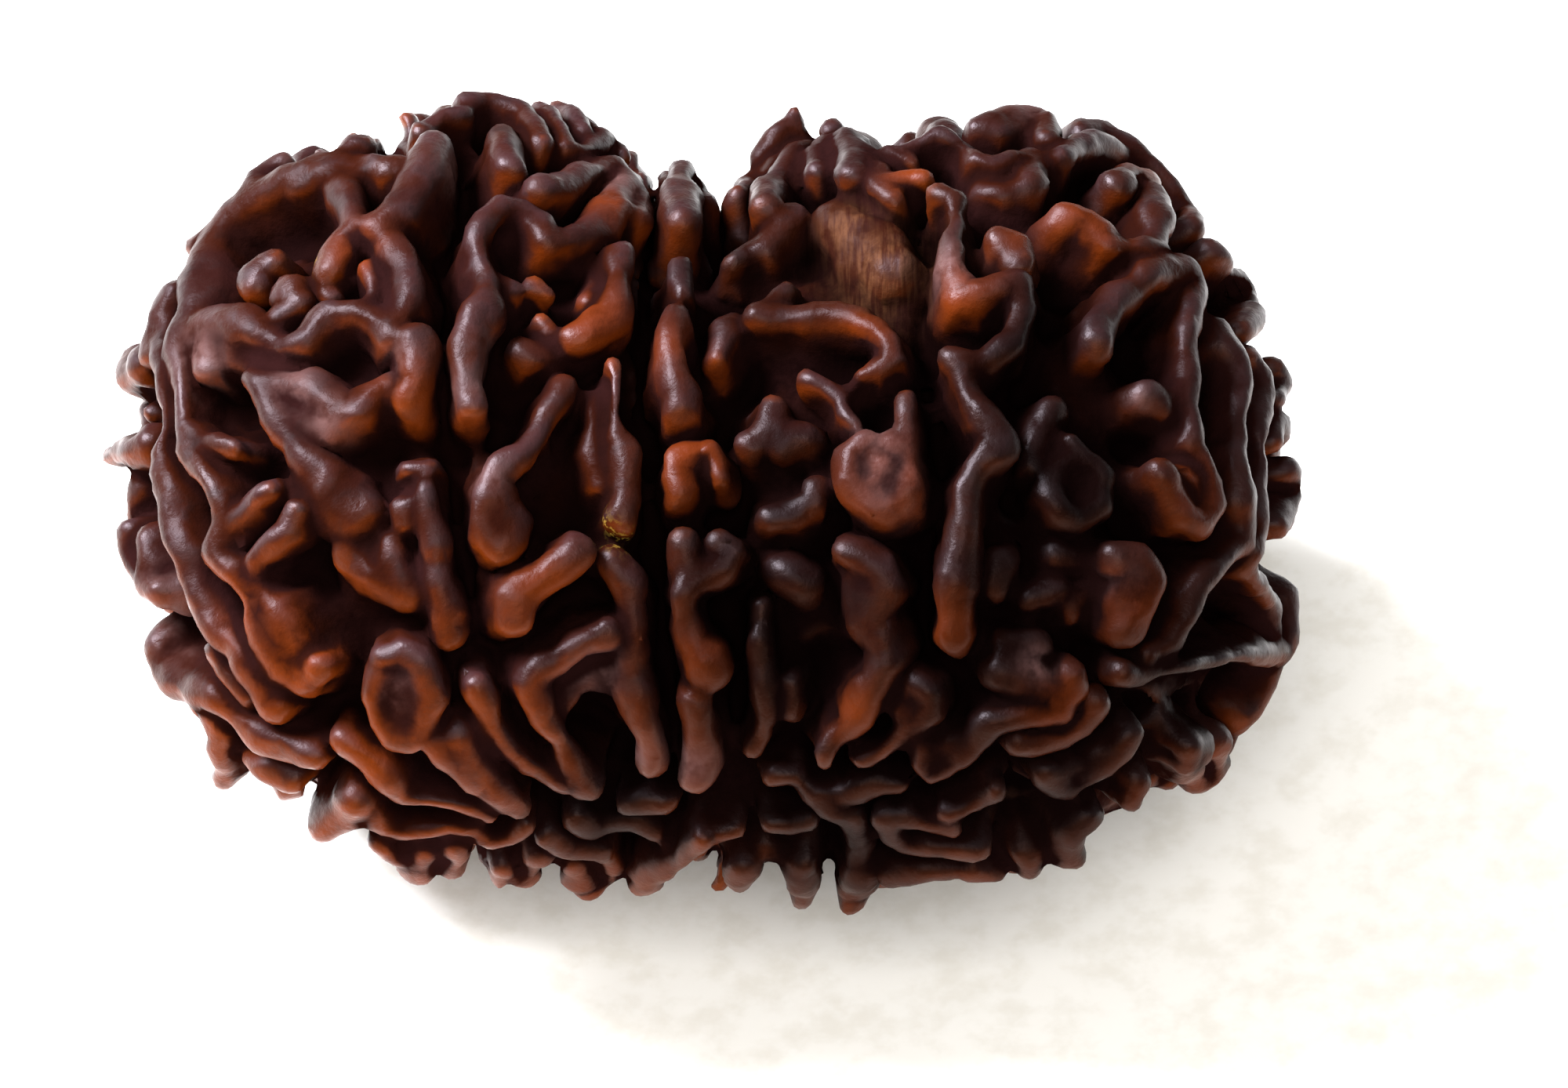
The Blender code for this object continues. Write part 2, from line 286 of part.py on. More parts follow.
VALLEY_EDGE_RIDGES = [
    (1.65, [(2.65, 11.65, 0.26), (2.45, 11.2, 0.38), (2.1, 10.7, 0.46), (1.75, 10.2, 0.45)]),
    (1.50, [(3.8, 11.3, 0.28), (3.8, 11.0, 0.3)]),
    (1.55, [(4.2, 10.8, 0.46), (4.25, 10.4, 0.54), (4.4, 10.0, 0.5), (4.35, 9.6, 0.44)]),
    (1.45, [(3.6, 10.6, 0.4), (3.35, 10.3, 0.44), (3.3, 9.8, 0.44)]),
    (1.45, [(2.8, 10.3, 0.42), (2.5, 9.85, 0.46), (2.1, 9.4, 0.45), (1.85, 8.9, 0.42),
            (1.75, 8.6, 0.34)]),
    (1.30, [(1.9, 9.8, 0.3), (1.35, 9.5, 0.38), (0.95, 9.1, 0.34)]),
    (1.20, [(4.9, 10.2, 0.4), (5.1, 9.7, 0.4), (5.2, 9.2, 0.36), (5.6, 9.0, 0.34)]),
    (1.10, [(5.5, 10.15, 0.3), (6.2, 10.1, 0.3)]),
    (1.25, [(5.6, 9.4, 0.34), (6.1, 9.5, 0.36), (6.5, 9.55, 0.32)]),
    (1.05, [(2.55, 8.3, 0.42), (2.2, 7.9, 0.42), (1.7, 7.5, 0.38)]),
    (0.80, [(0.8, 7.0, 0.34), (1.3, 7.2, 0.4), (1.8, 7.5, 0.4)]),
    (0.80, [(4.2, 8.0, 0.9), (5.0, 7.2, 1.0), (5.7, 6.6, 0.8)]),
    (1.05, [(2.4, 6.4, 0.3), (2.3, 6.0, 0.36), (2.0, 5.65, 0.4)]),
    (0.90, [(0.6, 5.2, 0.42), (0.65, 4.7, 0.42), (0.3, 4.2, 0.3)]),
    (1.30, [(1.6, 5.4, 0.45), (2.2, 5.3, 0.55), (3.0, 5.25, 0.6), (3.8, 5.3, 0.6),
            (4.5, 5.2, 0.5), (5.1, 4.95, 0.45), (5.45, 4.5, 0.45), (5.5, 4.0, 0.54),
            (5.1, 3.7, 0.6), (4.8, 3.6, 0.5)]),
    (1.20, [(3.1, 3.6, 0.34), (3.6, 3.35, 0.34), (4.05, 3.0, 0.38), (4.15, 2.6, 0.34),
            (4.4, 2.25, 0.3)]),
    (1.50, [(5.95, 3.0, 0.38), (6.0, 2.2, 0.34), (6.0, 1.4, 0.38), (6.0, 0.6, 0.42),
            (5.85, -0.1, 0.5), (5.3, -0.35, 0.52), (4.75, 0.0, 0.48), (4.3, 0.6, 0.42),
            (4.25, 1.2, 0.4), (4.7, 1.65, 0.36)]),
    (1.55, [(5.6, 1.5, 0.48), (5.3, 0.95, 0.66), (5.2, 0.5, 0.72)]),
    (1.40, [(4.2, -1.55, 0.34), (4.7, -1.8, 0.38), (5.15, -2.05, 0.4), (5.35, -2.6, 0.45),
            (5.15, -3.1, 0.4), (5.05, -3.55, 0.42), (5.3, -3.95, 0.5), (5.45, -4.4, 0.45)]),
    (1.15, [(4.7, -2.3, 0.48), (4.8, -3.0, 0.54), (4.85, -3.7, 0.48)]),
    (1.40, [(5.35, -4.95, 0.36), (5.2, -5.4, 0.34), (4.8, -5.95, 0.45), (4.5, -6.4, 0.48),
            (4.25, -6.8, 0.42), (3.8, -7.1, 0.38), (3.5, -7.5, 0.34), (3.5, -7.8, 0.26)]),
    (1.25, [(4.5, -7.8, 0.26), (5.2, -7.6, 0.3), (5.7, -7.2, 0.32), (6.1, -6.75, 0.36),
            (6.6, -6.4, 0.38), (6.6, -5.8, 0.38), (6.2, -5.6, 0.34)]),
    (1.25, [(6.05, -6.1, 0.6), (6.45, -6.1, 0.6)]),
    (1.20, [(6.4, -7.3, 0.34), (6.35, -7.9, 0.34), (6.7, -8.35, 0.34), (7.1, -8.15, 0.34),
            (7.5, -7.8, 0.34), (7.9, -7.35, 0.34), (8.2, -6.9, 0.34)]),
    (1.15, [(6.8, -7.5, 0.56), (7.3, -7.25, 0.56)]),
]
RIGHT_STONE_RIDGES = [
    (1.40, [(6.9, 9.0, 0.34), (7.4, 8.8, 0.38), (7.5, 8.2, 0.36), (7.35, 7.6, 0.36),
            (7.3, 7.0, 0.4), (7.45, 6.4, 0.46), (7.6, 5.9, 0.55), (8.1, 5.8, 0.55),
            (8.7, 6.0, 0.5), (9.2, 6.2, 0.42), (9.35, 5.7, 0.36), (9.3, 5.2, 0.36),
            (9.1, 4.7, 0.36), (8.6, 4.35, 0.34), (8.2, 4.0, 0.36)]),
    (1.55, [(7.5, 4.0, 0.5), (7.65, 3.4, 0.5), (7.85, 2.9, 0.46), (8.1, 2.4, 0.44),
            (8.5, 2.0, 0.4), (8.65, 1.65, 0.4), (8.3, 1.2, 0.38), (7.95, 0.8, 0.38),
            (7.75, 0.3, 0.4), (7.7, -0.3, 0.4), (7.6, -0.9, 0.4), (7.5, -1.6, 0.4),
            (7.45, -2.3, 0.4), (7.4, -3.0, 0.4), (7.5, -3.6, 0.44), (7.5, -4.05, 0.48)]),
    (1.35, [(5.6, 10.35, 0.38), (6.3, 10.6, 0.35), (6.9, 10.85, 0.3), (7.3, 10.8, 0.26)]),
    (1.45, [(8.2, 11.15, 0.4), (8.8, 11.3, 0.4), (9.5, 11.35, 0.4), (10.05, 11.3, 0.38),
            (10.15, 10.8, 0.36)]),
    (1.20, [(7.8, 10.45, 0.4), (8.05, 10.0, 0.42), (8.5, 9.9, 0.4), (9.2, 10.1, 0.4),
            (9.7, 10.2, 0.44), (9.8, 9.8, 0.44), (9.6, 9.3, 0.46)]),
    (0.85, [(8.3, 9.2, 0.5), (8.9, 9.0, 0.5)]),
    (1.35, [(8.7, 10.9, 0.5), (9.5, 10.95, 0.56)]),
    (1.35, [(10.6, 10.2, 0.34), (11.0, 10.45, 0.36), (11.5, 10.55, 0.36), (12.1, 10.4, 0.36),
            (12.6, 10.2, 0.36), (13.2, 10.0, 0.4), (13.7, 9.55, 0.42), (14.1, 9.1, 0.42),
            (14.4, 8.6, 0.42), (14.55, 8.1, 0.4)]),
    (1.35, [(11.2, 10.95, 0.34), (11.8, 10.9, 0.36), (12.4, 10.7, 0.36), (12.9, 10.35, 0.34)]),
    (1.40, [(12.2, 9.35, 0.46), (12.65, 9.6, 0.54), (13.1, 9.45, 0.5), (13.3, 9.0, 0.42),
            (13.35, 8.5, 0.4), (13.4, 7.9, 0.4), (13.35, 7.5, 0.4), (12.9, 7.3, 0.36),
            (12.45, 7.45, 0.3)]),
    (1.55, [(10.7, 8.35, 0.52), (11.2, 8.15, 0.62), (11.7, 7.8, 0.58), (12.05, 7.5, 0.42)]),
    (1.45, [(8.7, 7.55, 0.5), (9.1, 7.4, 0.42), (9.35, 7.05, 0.34)]),
    (1.50, [(13.0, 6.6, 0.46), (13.6, 6.7, 0.48), (14.25, 6.6, 0.54), (14.55, 6.2, 0.56),
            (14.4, 5.85, 0.48)]),
    (1.30, [(12.9, 6.45, 0.36), (12.4, 6.0, 0.38), (12.0, 5.5, 0.4), (11.75, 5.0, 0.44),
            (11.7, 4.6, 0.4)]),
    (1.45, [(14.4, 5.5, 0.36), (14.3, 4.9, 0.36), (14.35, 4.2, 0.42), (14.35, 3.5, 0.45),
            (14.3, 2.8, 0.42), (14.4, 2.2, 0.38), (14.5, 1.6, 0.38), (14.7, 1.0, 0.42),
            (14.85, 0.4, 0.42), (14.9, -0.15, 0.42), (14.6, -0.6, 0.46), (14.2, -0.45, 0.42),
            (13.95, 0.0, 0.4), (13.7, 0.45, 0.38), (13.45, 0.75, 0.34)]),
    (1.42, [(14.2, 0.5, 0.52), (14.4, 0.0, 0.62)]),
    (1.30, [(13.15, 3.05, 0.5), (13.55, 2.8, 0.5), (13.9, 2.9, 0.4)]),
    (0.80, [(10.3, 2.6, 0.4), (10.0, 1.8, 0.42), (9.8, 1.0, 0.4)]),
    (1.20, [(10.9, 1.7, 0.32), (11.3, 1.25, 0.36), (11.75, 0.8, 0.4)]),
    (1.10, [(11.8, 0.5, 0.38), (11.7, -0.1, 0.4), (11.2, -0.5, 0.44), (10.6, -0.4, 0.42),
            (10.3, 0.1, 0.4), (10.4, 0.8, 0.36), (10.8, 1.15, 0.34)]),
    (0.95, [(10.8, 0.35, 0.6), (11.3, 0.25, 0.62)]),
    (1.50, [(12.2, -1.75, 0.46), (12.8, -1.85, 0.5), (13.15, -2.3, 0.5), (12.95, -2.9, 0.5),
            (12.6, -3.4, 0.55), (12.35, -3.8, 0.5)]),
    (1.45, [(12.6, -2.5, 0.56), (12.4, -3.2, 0.6)]),
    (0.50, [(8.8, -1.9, 0.5), (8.55, -2.6, 0.5)]),
    (0.45, [(10.2, -2.7, 0.5), (9.6, -3.0, 0.5)]),
    (0.45, [(11.2, -1.8, 0.45), (10.4, -1.7, 0.45)]),
    (0.45, [(10.8, -3.3, 0.45), (11.4, -2.7, 0.5)]),
    (1.25, [(8.6, -6.6, 0.3), (9.2, -6.4, 0.32), (9.9, -6.35, 0.36), (10.5, -6.2, 0.4),
            (10.8, -5.7, 0.38), (10.75, -5.2, 0.36)]),
    (1.20, [(8.8, -5.1, 0.6), (9.5, -5.3, 0.76), (10.1, -5.55, 0.76)]),
    (0.80, [(8.9, -4.4, 0.5), (9.8, -4.3, 0.5)]),
    (1.15, [(11.55, -6.1, 0.3), (11.2, -6.7, 0.3), (10.7, -7.1, 0.3), (10.0, -7.2, 0.3),
            (9.3, -7.2, 0.3)]),
]
RIGHT_EDGE_RIDGES = [
    (1.45, [(15.1, 7.3, 0.4), (15.5, 6.95, 0.42), (15.95, 6.55, 0.42), (16.25, 6.1, 0.42),
            (16.3, 5.6, 0.36), (16.1, 5.1, 0.3)]),
    (1.45, [(15.3, 5.2, 0.38), (15.45, 4.6, 0.4), (15.75, 4.0, 0.4), (15.9, 3.3, 0.4),
            (15.85, 2.5, 0.4), (15.85, 1.7, 0.4), (15.8, 0.9, 0.4), (15.8, 0.1, 0.4),
            (15.85, -0.7, 0.4), (15.85, -1.25, 0.4), (15.5, -1.75, 0.36), (15.0, -2.15, 0.36),
            (14.6, -2.7, 0.36), (14.3, -3.3, 0.4), (14.0, -3.9, 0.4), (13.65, -4.4, 0.4),
            (13.2, -4.7, 0.36)]),
    (1.30, [(16.2, 4.3, 0.28), (16.5, 3.8, 0.3), (16.65, 3.2, 0.3), (16.6, 2.5, 0.28),
            (16.5, 1.8, 0.28), (16.55, 1.1, 0.28), (16.5, 0.4, 0.28), (16.4, -0.4, 0.28),
            (16.4, -1.0, 0.3), (16.2, -1.6, 0.3)]),
    (1.35, [(16.85, 3.8, 0.34), (17.05, 3.4, 0.34), (16.95, 3.0, 0.3)]),
    (1.25, [(17.0, 2.3, 0.32), (16.95, 1.7, 0.3)]),
    (1.45, [(17.3, 0.85, 0.42), (17.5, 0.35, 0.44), (17.4, -0.2, 0.42), (17.1, -0.8, 0.4)]),
    (1.20, [(16.0, -2.05, 0.3), (16.5, -2.6, 0.3), (16.95, -3.1, 0.34)]),
    (1.45, [(17.45, -2.85, 0.34), (17.35, -3.4, 0.4), (17.3, -4.0, 0.42), (17.0, -4.55, 0.4),
            (16.1, -4.65, 0.3), (15.4, -4.75, 0.28), (14.6, -4.9, 0.28), (13.8, -5.1, 0.28),
            (13.0, -5.3, 0.28), (12.4, -5.2, 0.28)]),
    (1.40, [(16.75, -5.25, 0.42), (16.6, -5.9, 0.42), (16.1, -6.45, 0.4)]),
    (1.40, [(15.2, -7.3, 0.4), (15.05, -7.95, 0.42), (14.7, -8.3, 0.4), (14.2, -8.0, 0.32)]),
    (1.40, [(14.3, -7.4, 0.45), (14.6, -7.5, 0.45)]),
    (1.50, [(12.9, -8.5, 0.5), (12.7, -8.9, 0.44)]),
    (1.30, [(12.7, -7.0, 0.34), (12.4, -7.4, 0.34), (12.0, -7.8, 0.34), (11.5, -8.3, 0.36),
            (11.0, -8.6, 0.38), (10.5, -8.5, 0.38), (10.1, -8.2, 0.34)]),
    (1.10, [(11.6, -7.6, 0.46), (11.0, -8.0, 0.5), (10.6, -7.95, 0.46)]),
    (1.10, [(16.6, -3.3, 0.5), (16.5, -4.0, 0.5)]),
    (1.50, [(11.3, -9.3, 0.44), (10.85, -9.8, 0.48), (10.65, -10.45, 0.5)]),
    (1.50, [(9.6, -10.6, 0.5), (9.6, -10.95, 0.44)]),
    (1.40, [(8.6, -11.05, 0.4), (7.9, -11.05, 0.36)]),
    (1.45, [(7.1, -11.0, 0.4), (6.4, -10.9, 0.4), (5.6, -11.0, 0.42)]),
    (1.25, [(7.2, -9.3, 0.38), (8.0, -9.1, 0.36), (8.5, -8.7, 0.3)]),
    (1.20, [(6.0, -9.4, 0.3), (6.6, -9.6, 0.3), (7.3, -9.7, 0.34)]),
    (1.30, [(5.4, -9.5, 0.3), (5.5, -10.0, 0.3), (5.9, -10.35, 0.3), (6.6, -10.3, 0.28),
            (7.3, -10.4, 0.28), (8.2, -10.4, 0.3)]),
]

# Grooves that run between the poles, as points in the same millimetres
GROOVES = [
    [(-17.0, -3.3), (-15.9, -3.9), (-15.2, -6.2), (-13.5, -7.5), (-11.5, -8.1), (-10.4, -8.6),
     (-9.3, -9.3), (-7.5, -9.45), (-6.0, -9.5), (-4.5, -9.1), (-3.3, -9.2), (-1.5, -9.1)],
    [(-15.9, 4.9), (-15.95, 3.0), (-15.9, 1.8), (-15.2, 0.2), (-14.9, -1.2), (-14.6, -2.4),
     (-14.0, -3.3), (-13.4, -4.6), (-12.9, -5.5), (-12.0, -6.1), (-11.2, -6.5), (-10.4, -6.9),
     (-9.3, -7.6), (-8.0, -8.4), (-6.9, -9.0), (-5.6, -9.5)],
    [(-7.6, 11.2), (-7.5, 9.0), (-7.8, 7.0), (-7.8, 5.0), (-7.8, 3.0), (-7.6, 1.0),
     (-7.4, -1.0), (-7.2, -2.5), (-6.9, -3.8), (-6.2, -4.7), (-6.0, -5.8), (-5.5, -6.8),
     (-4.8, -7.8), (-3.9, -8.8), (-2.0, -9.2)],
    [(-1.65, 8.6), (-1.7, 7.0), (-1.6, 5.0), (-1.75, 3.5), (-1.6, 2.0), (-1.5, 0.5),
     (-1.6, -0.8), (-1.5, -2.0), (-1.4, -4.0), (-1.2, -6.0), (-1.1, -7.6), (-0.9, -8.9)],
    [(6.4, 9.0), (6.6, 6.0), (6.65, 4.0), (6.75, 2.0), (6.8, 0.0), (6.7, -1.5), (6.5, -3.0),
     (6.2, -4.6), (5.6, -5.9), (5.0, -7.1), (3.9, -8.3), (2.4, -8.9)],
    [(14.4, 7.6), (15.0, 6.4), (14.95, 5.0), (15.05, 3.5), (15.15, 2.0), (15.35, 0.5),
     (15.35, -0.8), (14.6, -1.7), (14.0, -2.8), (13.4, -4.2), (12.0, -5.0), (11.4, -5.9),
     (10.8, -6.8), (9.3, -7.7), (7.6, -8.6), (5.5, -8.95), (3.2, -9.1)],
    [(17.2, -1.9), (16.0, -3.2), (15.0, -4.0)],
    [(15.6, -5.9), (13.8, -6.4), (12.5, -6.4), (11.7, -7.3), (10.3, -7.8), (9.0, -8.4),
     (7.6, -8.9)],
    [(0.3, 8.4), (0.6, 7.0), (0.8, 5.6), (1.2, 3.6), (0.5, 2.2), (0.9, 0.2), (0.8, -3.0),
     (1.0, -5.4), (1.0, -6.8), (2.2, -7.6), (3.0, -8.2)],
]
GROOVE_RADIUS = 0.36
GROOVE_HEIGHT = -0.4

# Hollows: millimetres right, millimetres up, radius and depth under the body
HOLLOWS = [
    (-12.3, 8.1, 0.9, 0.6), (-11.6, 7.7, 0.7, 0.6), (-12.7, 8.0, 0.7, 0.5),
    (-13.6, 2.7, 0.7, 0.6), (-13.3, 1.7, 0.8, 0.7), (-13.1, 1.1, 0.8, 0.6),
    (-11.8, -1.5, 0.7, 0.6), (-11.6, -2.6, 0.7, 0.5), (-10.9, -5.5, 0.7, 0.6),
    (-5.5, 7.5, 0.55, 0.7), (-4.7, 10.3, 0.6, 0.5), (-4.3, 8.5, 0.5, 0.5),
    (-4.3, 6.6, 0.7, 0.5), (-5.9, 3.0, 0.7, 0.5), (-6.2, 1.8, 0.6, 0.5),
    (-3.5, -6.9, 0.8, 0.7), (-2.4, -7.4, 0.7, 0.7), (-8.6, -7.9, 0.5, 0.5),
    (-9.1, -5.6, 0.5, 0.5), (-4.4, -3.5, 0.6, 0.4), (-3.4, -3.1, 0.6, 0.3),
    (0.5, 7.6, 0.9, 0.5), (1.3, 3.6, 0.9, 0.5), (0.5, -0.4, 0.8, 0.6),
    (0.8, -3.0, 0.8, 0.5), (1.0, -6.2, 0.6, 0.5), (3.3, -5.0, 1.0, 0.4),
    (2.6, -7.9, 0.8, 0.7), (4.8, -8.2, 0.6, 0.5), (2.4, 6.9, 0.5, 0.3),
    (6.3, -1.5, 0.6, 0.4), (6.4, -4.5, 0.6, 0.4), (9.5, 3.9, 0.9, 0.5),
    (9.3, 0.1, 0.7, 0.5), (10.0, 8.3, 0.6, 0.5), (10.6, 6.4, 1.0, 0.6),
    (10.4, 5.4, 0.9, 0.6), (11.3, 9.6, 0.6, 0.5), (12.6, 8.5, 0.5, 0.5),
    (13.1, 5.2, 0.8, 0.7), (12.8, 4.4, 0.8, 0.5), (12.9, 1.8, 0.8, 0.5),
    (12.5, -0.9, 0.8, 0.6), (14.2, -1.5, 0.5, 0.3), (11.4, -4.7, 0.7, 0.4),
    (15.2, -3.8, 0.8, 0.5), (14.1, -6.5, 0.8, 0.5), (8.0, -8.1, 0.6, 0.5),
    (9.5, -8.5, 0.5, 0.4), (9.7, 3.3, 0.8, 0.5),
]

# Clear sight lines between the teeth at the edge: millimetres right, millimetres up and radius
GAPS = [
    (-11.85, -8.7, 0.3), (-12.25, -9.4, 0.45), (-10.55, -10.85, 0.4), (-6.92, -11.1, 0.2),
    (-6.9, -11.7, 0.4), (-2.5, -11.6, 0.24), (-2.6, -12.2, 0.4), (-0.5, -11.85, 0.42),
    (-0.1, -11.2, 0.42), (0.22, -10.65, 0.22), (1.95, -11.35, 0.28), (1.95, -12.0, 0.4),
    (3.68, -11.0, 0.2), (3.66, -11.6, 0.28), (3.6, -12.2, 0.38), (18.0, -2.05, 0.3),
    (3.2, 11.35, 0.12), (3.2, 11.85, 0.28), (2.95, 12.5, 0.34), (3.75, 12.3, 0.5), (4.4, 12.0, 0.5),
    (4.7, 11.45, 0.4), (5.3, 11.3, 0.45), (10.7, 11.75, 0.28), (11.6, 11.75, 0.3),
    (-1.62, 9.0, 0.13), (-1.65, 9.5, 0.2), (-1.7, 10.1, 0.35), (-1.6, 10.8, 0.5), (0.25, 9.7, 0.28),
    (-9.6, 10.55, 0.3), (-9.5, 11.1, 0.42), (-10.3, 11.2, 0.36), (-11.3, 10.8, 0.34),
    (-17.4, 2.3, 0.32),
]


def blend(first, second, width):
    """Joins two distance fields with a rounded inner corner of the given width."""
    overlap = np.maximum(width - np.abs(first - second), 0.0) / width
    return np.minimum(first, second) - overlap * overlap * width / 4.0


def carve(field, tool, width):
    """Takes one distance field out of another and rounds the corner."""
    return -blend(-field, tool, width)


def ellipsoid(place, centre, radii):
    """Distance from an ellipsoid, close to true near its surface and below zero inside."""
    scaled = [(axis - middle) / radius for axis, middle, radius in zip(place, centre, radii)]
    reach = np.sqrt(sum(part * part for part in scaled) + TINY)
    slope = np.sqrt(sum((part / radius) ** 2 for part, radius in zip(scaled, radii)) + TINY)
    return reach * (reach - 1.0) / slope


def body(place):
    """Distance from the body that the ridges stand on."""
    left = ellipsoid(place, LEFT_STONE, STONE_RADII)
    right = ellipsoid(place, RIGHT_STONE, STONE_RADII)
    bridge = ellipsoid(place, BRIDGE, BRIDGE_RADII)
    return blend(blend(left, right, STONE_BLEND), bridge, STONE_BLEND)


def swells(place):
    """Slow rise and fall of the floor, the same wherever it is worked out."""
    rng = np.random.default_rng(SEED)
    total = 0.0
    for _ in range(SWELL_COUNT):
        heading = rng.normal(0.0, 1.0, 3)
        heading *= 2.0 * math.pi / (rng.uniform(*SWELL_LENGTHS) * np.linalg.norm(heading))
        phase = rng.uniform(0.0, 2.0 * math.pi)
        total = total + np.sin(sum(axis * value for axis, value in zip(place, heading)) + phase)
    return SWELL_HEIGHT * math.sqrt(2.0 / SWELL_COUNT) * total


def outward(points):
    """Unit vectors that point straight out of the body at the given points."""
    slopes = []
    for axis in range(3):
        ahead = points.copy()
        behind = points.copy()
        ahead[:, axis] += SLOPE_STEP
        behind[:, axis] -= SLOPE_STEP
        slopes.append(body(ahead.T) - body(behind.T))
    slopes = np.stack(slopes, axis=1)
    return slopes / np.maximum(np.linalg.norm(slopes, axis=1, keepdims=True), TINY)


def sight_axes():
    """Unit vectors to the right, up the picture and toward the eye."""
    across = np.array([1.0, 0.0, 0.0])
    upward = np.array([0.0, math.sin(SIGHT_RISE), math.cos(SIGHT_RISE)])
    toward = np.array([0.0, -math.cos(SIGHT_RISE), math.sin(SIGHT_RISE)])
    return across, upward, toward


def land(picture, heights):
    """Puts picture points on the body at the given heights, or where their sight lines pass nearest."""
    across, upward, toward = sight_axes()
    depths = np.arange(SIGHT_REACH, -SIGHT_REACH, -SIGHT_STEP)
    base = picture[:, :1] * across + picture[:, 1:2] * upward
    lines = base[:, None, :] + depths[None, :, None] * toward
    gaps = body(np.moveaxis(lines, -1, 0)) - heights[:, None]
    reached = gaps <= 0.0
    index = np.where(reached.any(axis=1), reached.argmax(axis=1), gaps.argmin(axis=1))
    return base + depths[index][:, None] * toward


def smooth_line(points):
    """A smooth curve through the points, as points about one piece length apart."""
    points = np.array(points, float)
    ends = np.vstack([2 * points[0] - points[1], points, 2 * points[-1] - points[-2]])
    line = []
    for before, start, end, after in zip(ends, ends[1:], ends[2:], ends[3:]):
        length = np.linalg.norm((end - start)[:2])
        pieces = max(1, round(length / PIECE_LENGTH))
        for step in range(pieces):
            t = step / pieces
            line.append(
                0.5
                * (
                    2 * start
                    + (end - before) * t
                    + (2 * before - 5 * start + 4 * end - after) * t ** 2
                    + (3 * start - before - 3 * end + after) * t ** 3
                )
            )
    line.append(points[-1])
    return np.array(line)


class Ridge:
    """The middle line of a ridge in space, with its half widths and how far its walls go down."""

    def __init__(self, points, radii):
        self.points = points
        self.radii = radii
        self.normals = outward(points)
        self.depths = np.maximum(body(points.T), 0.0) + ROOT_DEPTH


def ridges_in_sight():
    """The ridges that the photo shows."""
    groups = [LEFT_EDGE_RIDGES, LEFT_STONE_RIDGES, MIDDLE_RIDGES, VALLEY_EDGE_RIDGES,
              RIGHT_STONE_RIDGES, RIGHT_EDGE_RIDGES]
    ridges = []
    for group in groups:
        for height, points in group:
            line = smooth_line(points)
            radii = np.maximum(line[:, 2] * TOP_TO_WIDTH, LEAST_RADIUS)
            ridges.append(Ridge(land(line, height - radii), radii))
    return ridges


def feet():
    """Short ridges under the bead that reach down to the level it rests on."""
    ridges = []
    for across, along in FEET:
        line = np.array([[across, along - FOOT_LENGTH / 2, 0.0], [across, along + FOOT_LENGTH / 2, 0.0]])
        line[:, 2] = REST_LEVEL + FOOT_RADIUS - FOOT_DEPTH
        ridges.append(Ridge(line, np.full(2, FOOT_RADIUS)))
    return ridges


def settle(points, height):
    """Moves points straight in or out until they lie at a height, or their own heights, over the body."""
    for _ in range(SETTLING_ROUNDS):
        points = points - (body(points.T) - height)[:, None] * outward(points)
    return points


def facing(points):
    """How far the body turns toward the eye at the points: 1 square on, 0 at the rim, below 0 behind."""
    return outward(points) @ sight_axes()[2]


def behind_rim(points):
    """Share of the full height that a hidden ridge has at the points."""
    share = (RIM_FACING - facing(points)) / (RIM_FACING - FULL_FACING)
    return RIM_HEIGHT_SHARE + (1.0 - RIM_HEIGHT_SHARE) * np.clip(share, 0.0, 1.0)


def hidden_starts(rng):
    """Points spread evenly over the hidden part of the body, in a shuffled order."""
    count = np.arange(START_COUNT)
    turns = count * math.pi * (3.0 - math.sqrt(5.0))
    heights = 1.0 - (2.0 * count + 1.0) / START_COUNT
    rings = np.sqrt(1.0 - heights ** 2)
    ball = np.stack([rings * np.cos(turns), heights, rings * np.sin(turns)], axis=1)
    points = settle(ball * START_RADII, 0.0)
    upper = outward(points) @ sight_axes()[1] > UPPER_RIM
    hidden = points[facing(points) < np.where(upper, UPPER_RIM_FACING, RIM_FACING)]
    return hidden[rng.permutation(len(hidden))]


def crawl(start, heading, length, height, rng, taken):
    """Walks over the body from a start, wandering a little, until it is long enough or meets a ridge.

    Where it meets one it joins it, or else it stops short.
    """
    line = [settle(start[None], height)[0]]
    turn = heading
    while len(line) * HIDDEN_STEP < length:
        along, side = pole_frame(line[-1])
        turn = heading + STEADINESS * (turn - heading) + rng.normal(0.0, WANDER)
        step = math.cos(turn) * along + math.sin(turn) * side
        place = settle((line[-1] + HIDDEN_STEP * step)[None], height)[0]
        gaps = np.linalg.norm(taken - place, axis=1)
        if gaps.min() < CLEARANCE:
            if rng.random() < JOIN_SHARE:
                shares = np.arange(1, JOIN_STEPS)[:, None] / JOIN_STEPS
                line.extend(line[-1] + shares * (taken[gaps.argmin()] - line[-1]))
            break
        line.append(place)
    return np.array(line)


def uneven(line, rng):
    """A ridge along a line, with half widths that vary and ends that swell."""
    if len(line) < 2:
        line = np.vstack([line, line + rng.normal(0.0, KNOB_SPREAD, 3)])
    radii = rng.uniform(*HIDDEN_RADII) * (1.0 + rng.normal(0.0, RADIUS_SPREAD, len(line)))
    radii[[0, -1]] *= rng.uniform(1.0, END_SWELLING, 2)
    return Ridge(line, radii)


def pole_frame(place):
    """Unit vectors along the body toward the back poles and across them, at a place on the body."""
    normal = outward(place[None])[0]
    along = POLE_AXIS - (normal @ POLE_AXIS) * normal
    along /= max(np.linalg.norm(along), TINY)
    return along, np.cross(normal, along)


